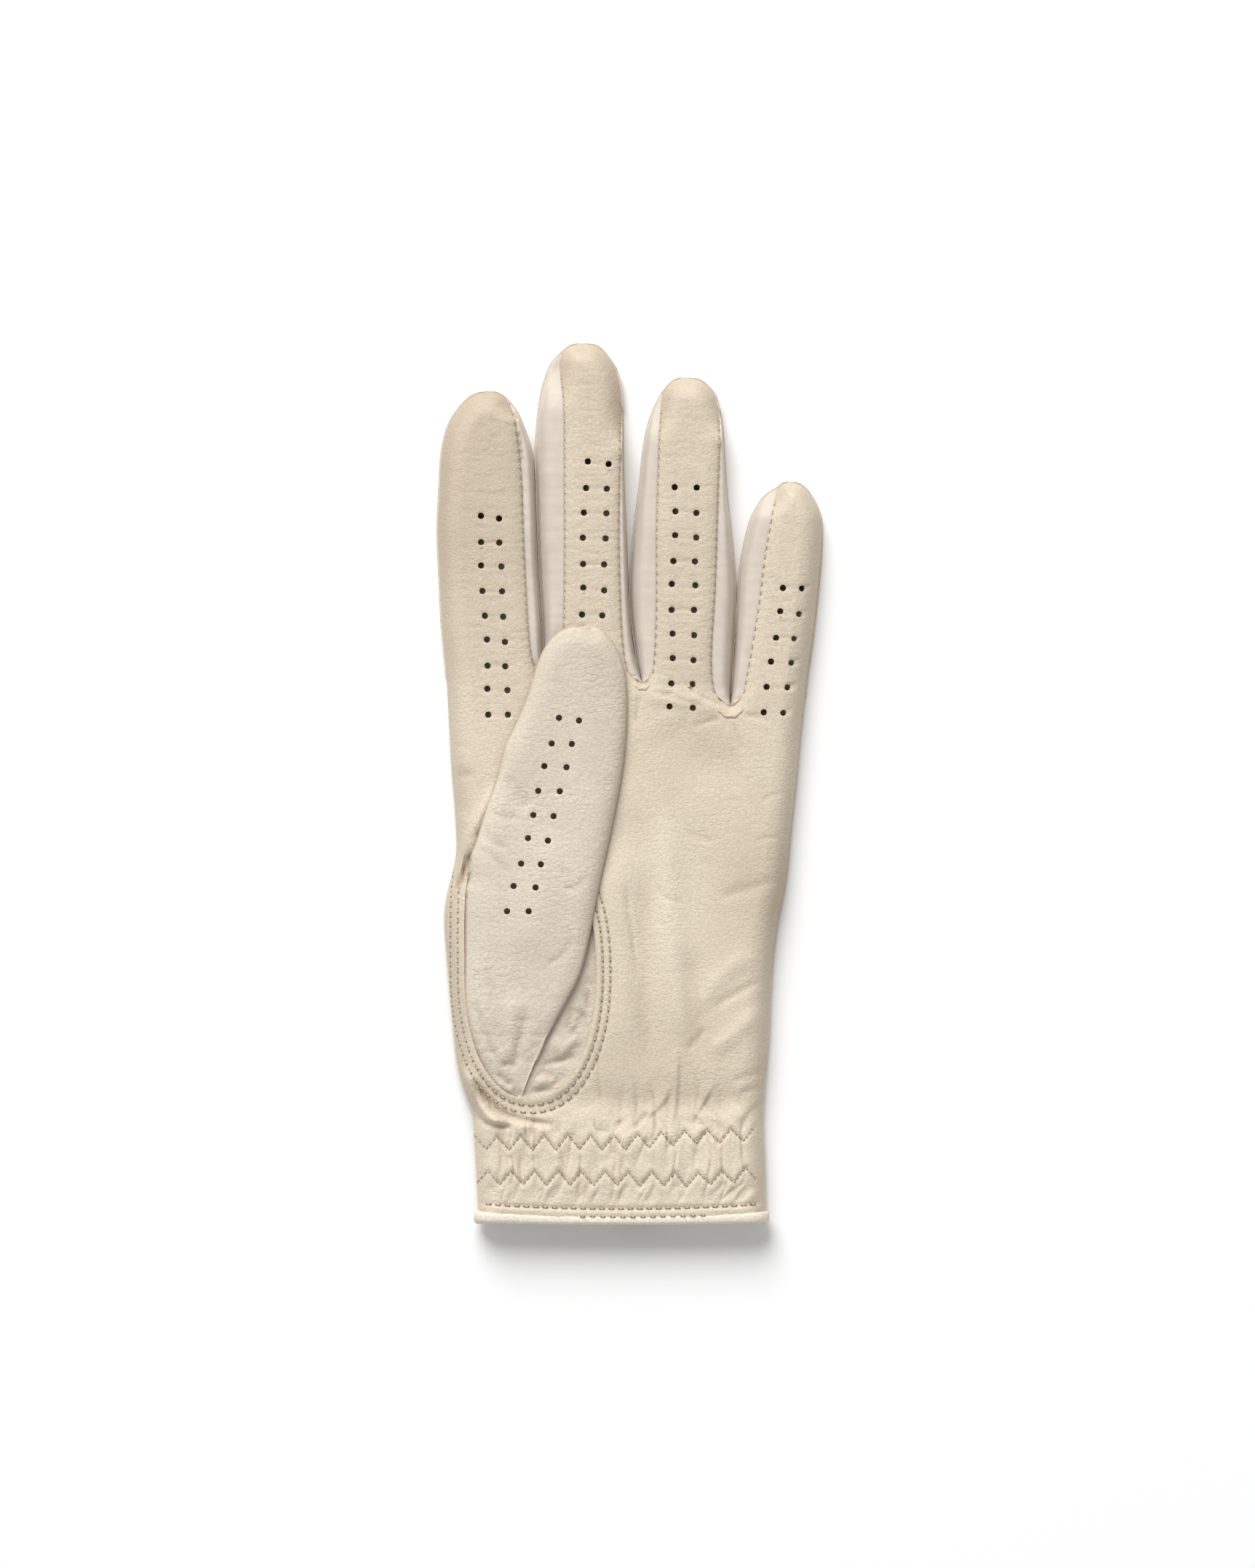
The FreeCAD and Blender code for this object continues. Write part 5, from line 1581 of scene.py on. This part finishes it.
class GLOVE_OT_closure(bpy.types.Operator):
    """Builds the bound slit, the tab and the hook and loop pads on the back"""
    bl_idname = "glove.closure"
    bl_label = "Closure"

    def execute(self, context):
        tape = cloth("hook_and_loop_tape", colours().tape, 900, 0.4, 0.95, 0.4)
        self.slab("tab_leather", "closure_tab", "tab", back_leather(), "palm_leather", 0.6, 0.06, True)
        self.slab("hook_tape", "hook_pad", "tab", tape, "hook_and_loop", 0.35, 0.10, True)
        self.slab("loop_tape", "loop_pad", "hand", tape, "hook_and_loop", 0.35, 0.16, True)
        self.slab("tab_anchor", "closure_anchor", "hand", back_leather(), "palm_leather", 0.8, 0.08, False)
        self.slit()
        self.sewing()
        return {"FINISHED"}

    def drawn_box(self, node):
        low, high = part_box(node)
        offset = np.array([OFFSET_X, OFFSET_Y, 0.0])
        return np.array(low) / MM - offset, np.array(high) / MM - offset

    def slab(self, name, node, body, material, slot, edge, rough, round_end):
        """A flat padded shape as large as the part it stands for, with a half-round right end or two square
        ones."""
        (x0, y0, z0), (x1, y1, z1) = self.drawn_box(node)
        half = (y1 - y0) / 2
        turn = np.linspace(-np.pi / 2, np.pi / 2, 61)
        y = (y0 + half + half * np.sin(turn))[:, None]
        share = np.concatenate([[0, 0.004, 0.012], np.linspace(0.025, 0.975, 56), [0.988, 0.996, 1]])[None, :]
        corner = half if round_end else 1.5
        down = np.clip(corner - (half - np.abs(y - y0 - half)), 0, corner)
        right = x1 - (corner - np.sqrt(corner ** 2 - down ** 2))
        x = x0 + (right - x0) * share
        y = np.broadcast_to(y, x.shape)
        inside = np.minimum(np.minimum(x - x0, right - x), half - np.abs(y - y0 - half))
        middle, thick = (z0 + z1) / 2, (z1 - z0) / 2 * rounded(inside / edge)
        fuzz = rough * (noise(x / 0.9, y / 0.9, 95) + noise(x / 3.1, y / 3.1, 96) - 1)
        fuzz = fuzz * ease(inside / (2 * edge))
        top, bottom = middle + thick + fuzz, np.maximum(middle - thick - 0.5 * fuzz, 0)
        bottom = np.where(inside <= 1e-9, top, bottom)
        points = np.concatenate([np.stack([x, y, z], -1).reshape(-1, 3) for z in (top, bottom)])
        faces = grid_faces(x.shape) + grid_faces(x.shape, None, x.size, True)
        piece = add_piece(name, points, faces, material)
        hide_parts(node)
        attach(piece, body)

    def slit(self):
        bottom = self.drawn_box("slit_binding")[0][2]
        middle, wide, long = SLIT
        line = curve_through([(middle - wide / 2 + 0.2, 3.2), (middle - wide / 4, long / 2),
                              (middle - 0.7, long - 6), (middle, long - 0.6), (middle + 0.7, long - 6),
                              (middle + wide / 4, long / 2), (middle + wide / 2 - 0.2, 3.2)], 1.0)
        ahead = np.gradient(line, axis=0)
        ahead /= np.linalg.norm(ahead, axis=1)[:, None]
        rings = []
        for (px, py), (ax, ay) in zip(line, ahead):
            lift = (bottom - 0.4) - BACK_LIFT * float(ease(np.array((py - long) / 14)))
            rings.append([(px - ay * (a - 0.4) * 0.8, py + ax * (a - 0.4) * 0.8, lift + b)
                          for a, b in BINDING_SECTION])
        points, faces = [], []
        join(points, faces, rings)
        piece = add_piece("slit_binding_tape", points, faces, leather("binding_leather", colours().binding))
        fix_normals(piece)
        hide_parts("slit_binding")
        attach(piece, "hand")

    def sewing(self):
        """Rows of stitches on the outside of the closure: round the tab, and round the anchor it hangs on."""
        radius = sizes().thread / MM * 0.8
        (x0, y0, _), (x1, y1, _) = self.drawn_box("closure_tab")
        half, inset = (y1 - y0) / 2, 1.7
        turn = np.linspace(-np.pi / 2, np.pi / 2, 40)
        bow = np.column_stack([x1 - half + (half - inset) * np.cos(turn),
                               y0 + half + (half - inset) * np.sin(turn)])
        line = np.vstack([[(x0 + 0.8, y0 + inset)], bow, [(x0 + 0.8, y1 - inset)]])
        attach(sew("tab_thread", sewn_row(line, 2.6, 0.6, self.outside), radius, []), "tab")
        (x0, y0, _), (x1, y1, _) = self.drawn_box("closure_anchor")
        frame_line = np.array([(x0 + 1.4, y0 + 1.6), (x1 - 1.0, y0 + 1.6), (x1 - 1.0, y1 - 1.6),
                               (x0 + 1.4, y1 - 1.6), (x0 + 1.4, y0 + 1.6)])
        rows = sewn_row(frame_line, 2.6, 0.6, self.outside)
        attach(sew("anchor_thread", rows, radius, []), "hand")

    def outside(self, x, y):
        """The height of the leather under the stitches of the closure, just below its outer face."""
        return 0 * x - STITCH_LIFT - 0.02


# ---- the stage -----------------------------------------------------------------------------------------
class GLOVE_OT_stage(bpy.types.Operator):
    """Adds the floor, the lights and the camera"""
    bl_idname = "glove.stage"
    bl_label = "Stage"

    def execute(self, context):
        floor_mesh = bpy.data.meshes.new("floor")
        corners = [(-1, -1), (1, -1), (1, 1), (-1, 1)]
        floor_mesh.from_pydata([(FLOOR_REACH * x, FLOOR_REACH * y, FLOOR_LEVEL) for x, y in corners], [],
                               [(0, 1, 2, 3)])
        floor = bpy.data.objects.new("floor", floor_mesh)
        context.scene.collection.objects.link(floor)
        floor_mesh.materials.append(self.floor_paint())
        world = bpy.data.worlds.new("studio")
        world.use_nodes = True
        world.node_tree.nodes["Background"].inputs["Color"].default_value = (1.0, 1.0, 1.0, 1)
        world.node_tree.nodes["Background"].inputs["Strength"].default_value = 0.38
        context.scene.world = world
        self.area("key", (-0.9, 2.9, 2.6), 2.7, 176.0)
        self.area("fill", (0.9, -0.9, 1.9), 1.6, 5.0)
        context.scene.view_settings.view_transform = "Standard"
        data = bpy.data.cameras.new("camera")
        data.sensor_width = SENSOR_WIDTH
        data.lens = SENSOR_WIDTH * (CAMERA_HEIGHT - VIEW_LEVEL) / VIEW_WIDTH
        data.clip_end = 20
        camera = bpy.data.objects.new("camera", data)
        context.scene.collection.objects.link(camera)
        camera.location = (CAMERA_X, 0.0, CAMERA_HEIGHT)
        context.scene.camera = camera
        return {"FINISHED"}

    def floor_paint(self):
        material, tree, shader, place = new_material("floor_paint")
        value = colours().floor
        base = mixed_colour(tree, noise_node(tree, place, 3, 2), shade_of(value, 0.99), shade_of(value, 1.01))
        tree.links.new(base, shader.inputs["Base Color"])
        shader.inputs["Roughness"].default_value = 0.9
        shader.inputs["Specular IOR Level"].default_value = 0.0
        seen = put(tree, "ShaderNodeNewGeometry")
        clear = put(tree, "ShaderNodeBsdfTransparent")
        mix = put(tree, "ShaderNodeMixShader")
        tree.links.new(seen.outputs["Backfacing"], mix.inputs[0])
        tree.links.new(shader.outputs[0], mix.inputs[1])
        tree.links.new(clear.outputs[0], mix.inputs[2])
        out = next(n for n in tree.nodes if n.bl_idname == "ShaderNodeOutputMaterial")
        tree.links.new(mix.outputs[0], out.inputs["Surface"])
        return material

    def area(self, name, place, size, power):
        data = bpy.data.lights.new(name, "AREA")
        data.shape = "DISK"
        data.size = size
        data.energy = power
        lamp = bpy.data.objects.new(name, data)
        bpy.context.scene.collection.objects.link(lamp)
        lamp.location = place
        lamp.rotation_euler = (Vector((0, 0, 0)) - Vector(place)).to_track_quat("-Z", "Y").to_euler()


class GLOVE_PT_panel(bpy.types.Panel):
    bl_label = "Golf glove"
    bl_idname = "GLOVE_PT_panel"
    bl_space_type = "VIEW_3D"
    bl_region_type = "UI"
    bl_category = "Glove"

    def draw(self, context):
        for group in (context.scene.glove_sizes, context.scene.glove_colours):
            box = self.layout.box()
            for label in group.__annotations__:
                box.prop(group, label)
        for operator in OPERATORS:
            self.layout.operator(operator.bl_idname)


OPERATORS = [GLOVE_OT_palm, GLOVE_OT_fingers, GLOVE_OT_fourchettes, GLOVE_OT_thumb, GLOVE_OT_back,
             GLOVE_OT_stitching, GLOVE_OT_cuff, GLOVE_OT_closure, GLOVE_OT_stage]
CLASSES = [GloveSizes, GloveColours, *OPERATORS, GLOVE_PT_panel]


def register():
    for cls in CLASSES:
        bpy.utils.register_class(cls)
    bpy.types.Scene.glove_sizes = bpy.props.PointerProperty(type=GloveSizes)
    bpy.types.Scene.glove_colours = bpy.props.PointerProperty(type=GloveColours)


def unregister():
    del bpy.types.Scene.glove_colours
    del bpy.types.Scene.glove_sizes
    for cls in reversed(CLASSES):
        bpy.utils.unregister_class(cls)


def main():
    register()
    bpy.ops.glove.stage()
    bpy.ops.glove.palm()
    bpy.ops.glove.fingers()
    bpy.ops.glove.fourchettes()
    bpy.ops.glove.thumb()
    bpy.ops.glove.back()
    bpy.ops.glove.stitching()
    bpy.ops.glove.cuff()
    bpy.ops.glove.closure()


if __name__ == "__main__":
    main()
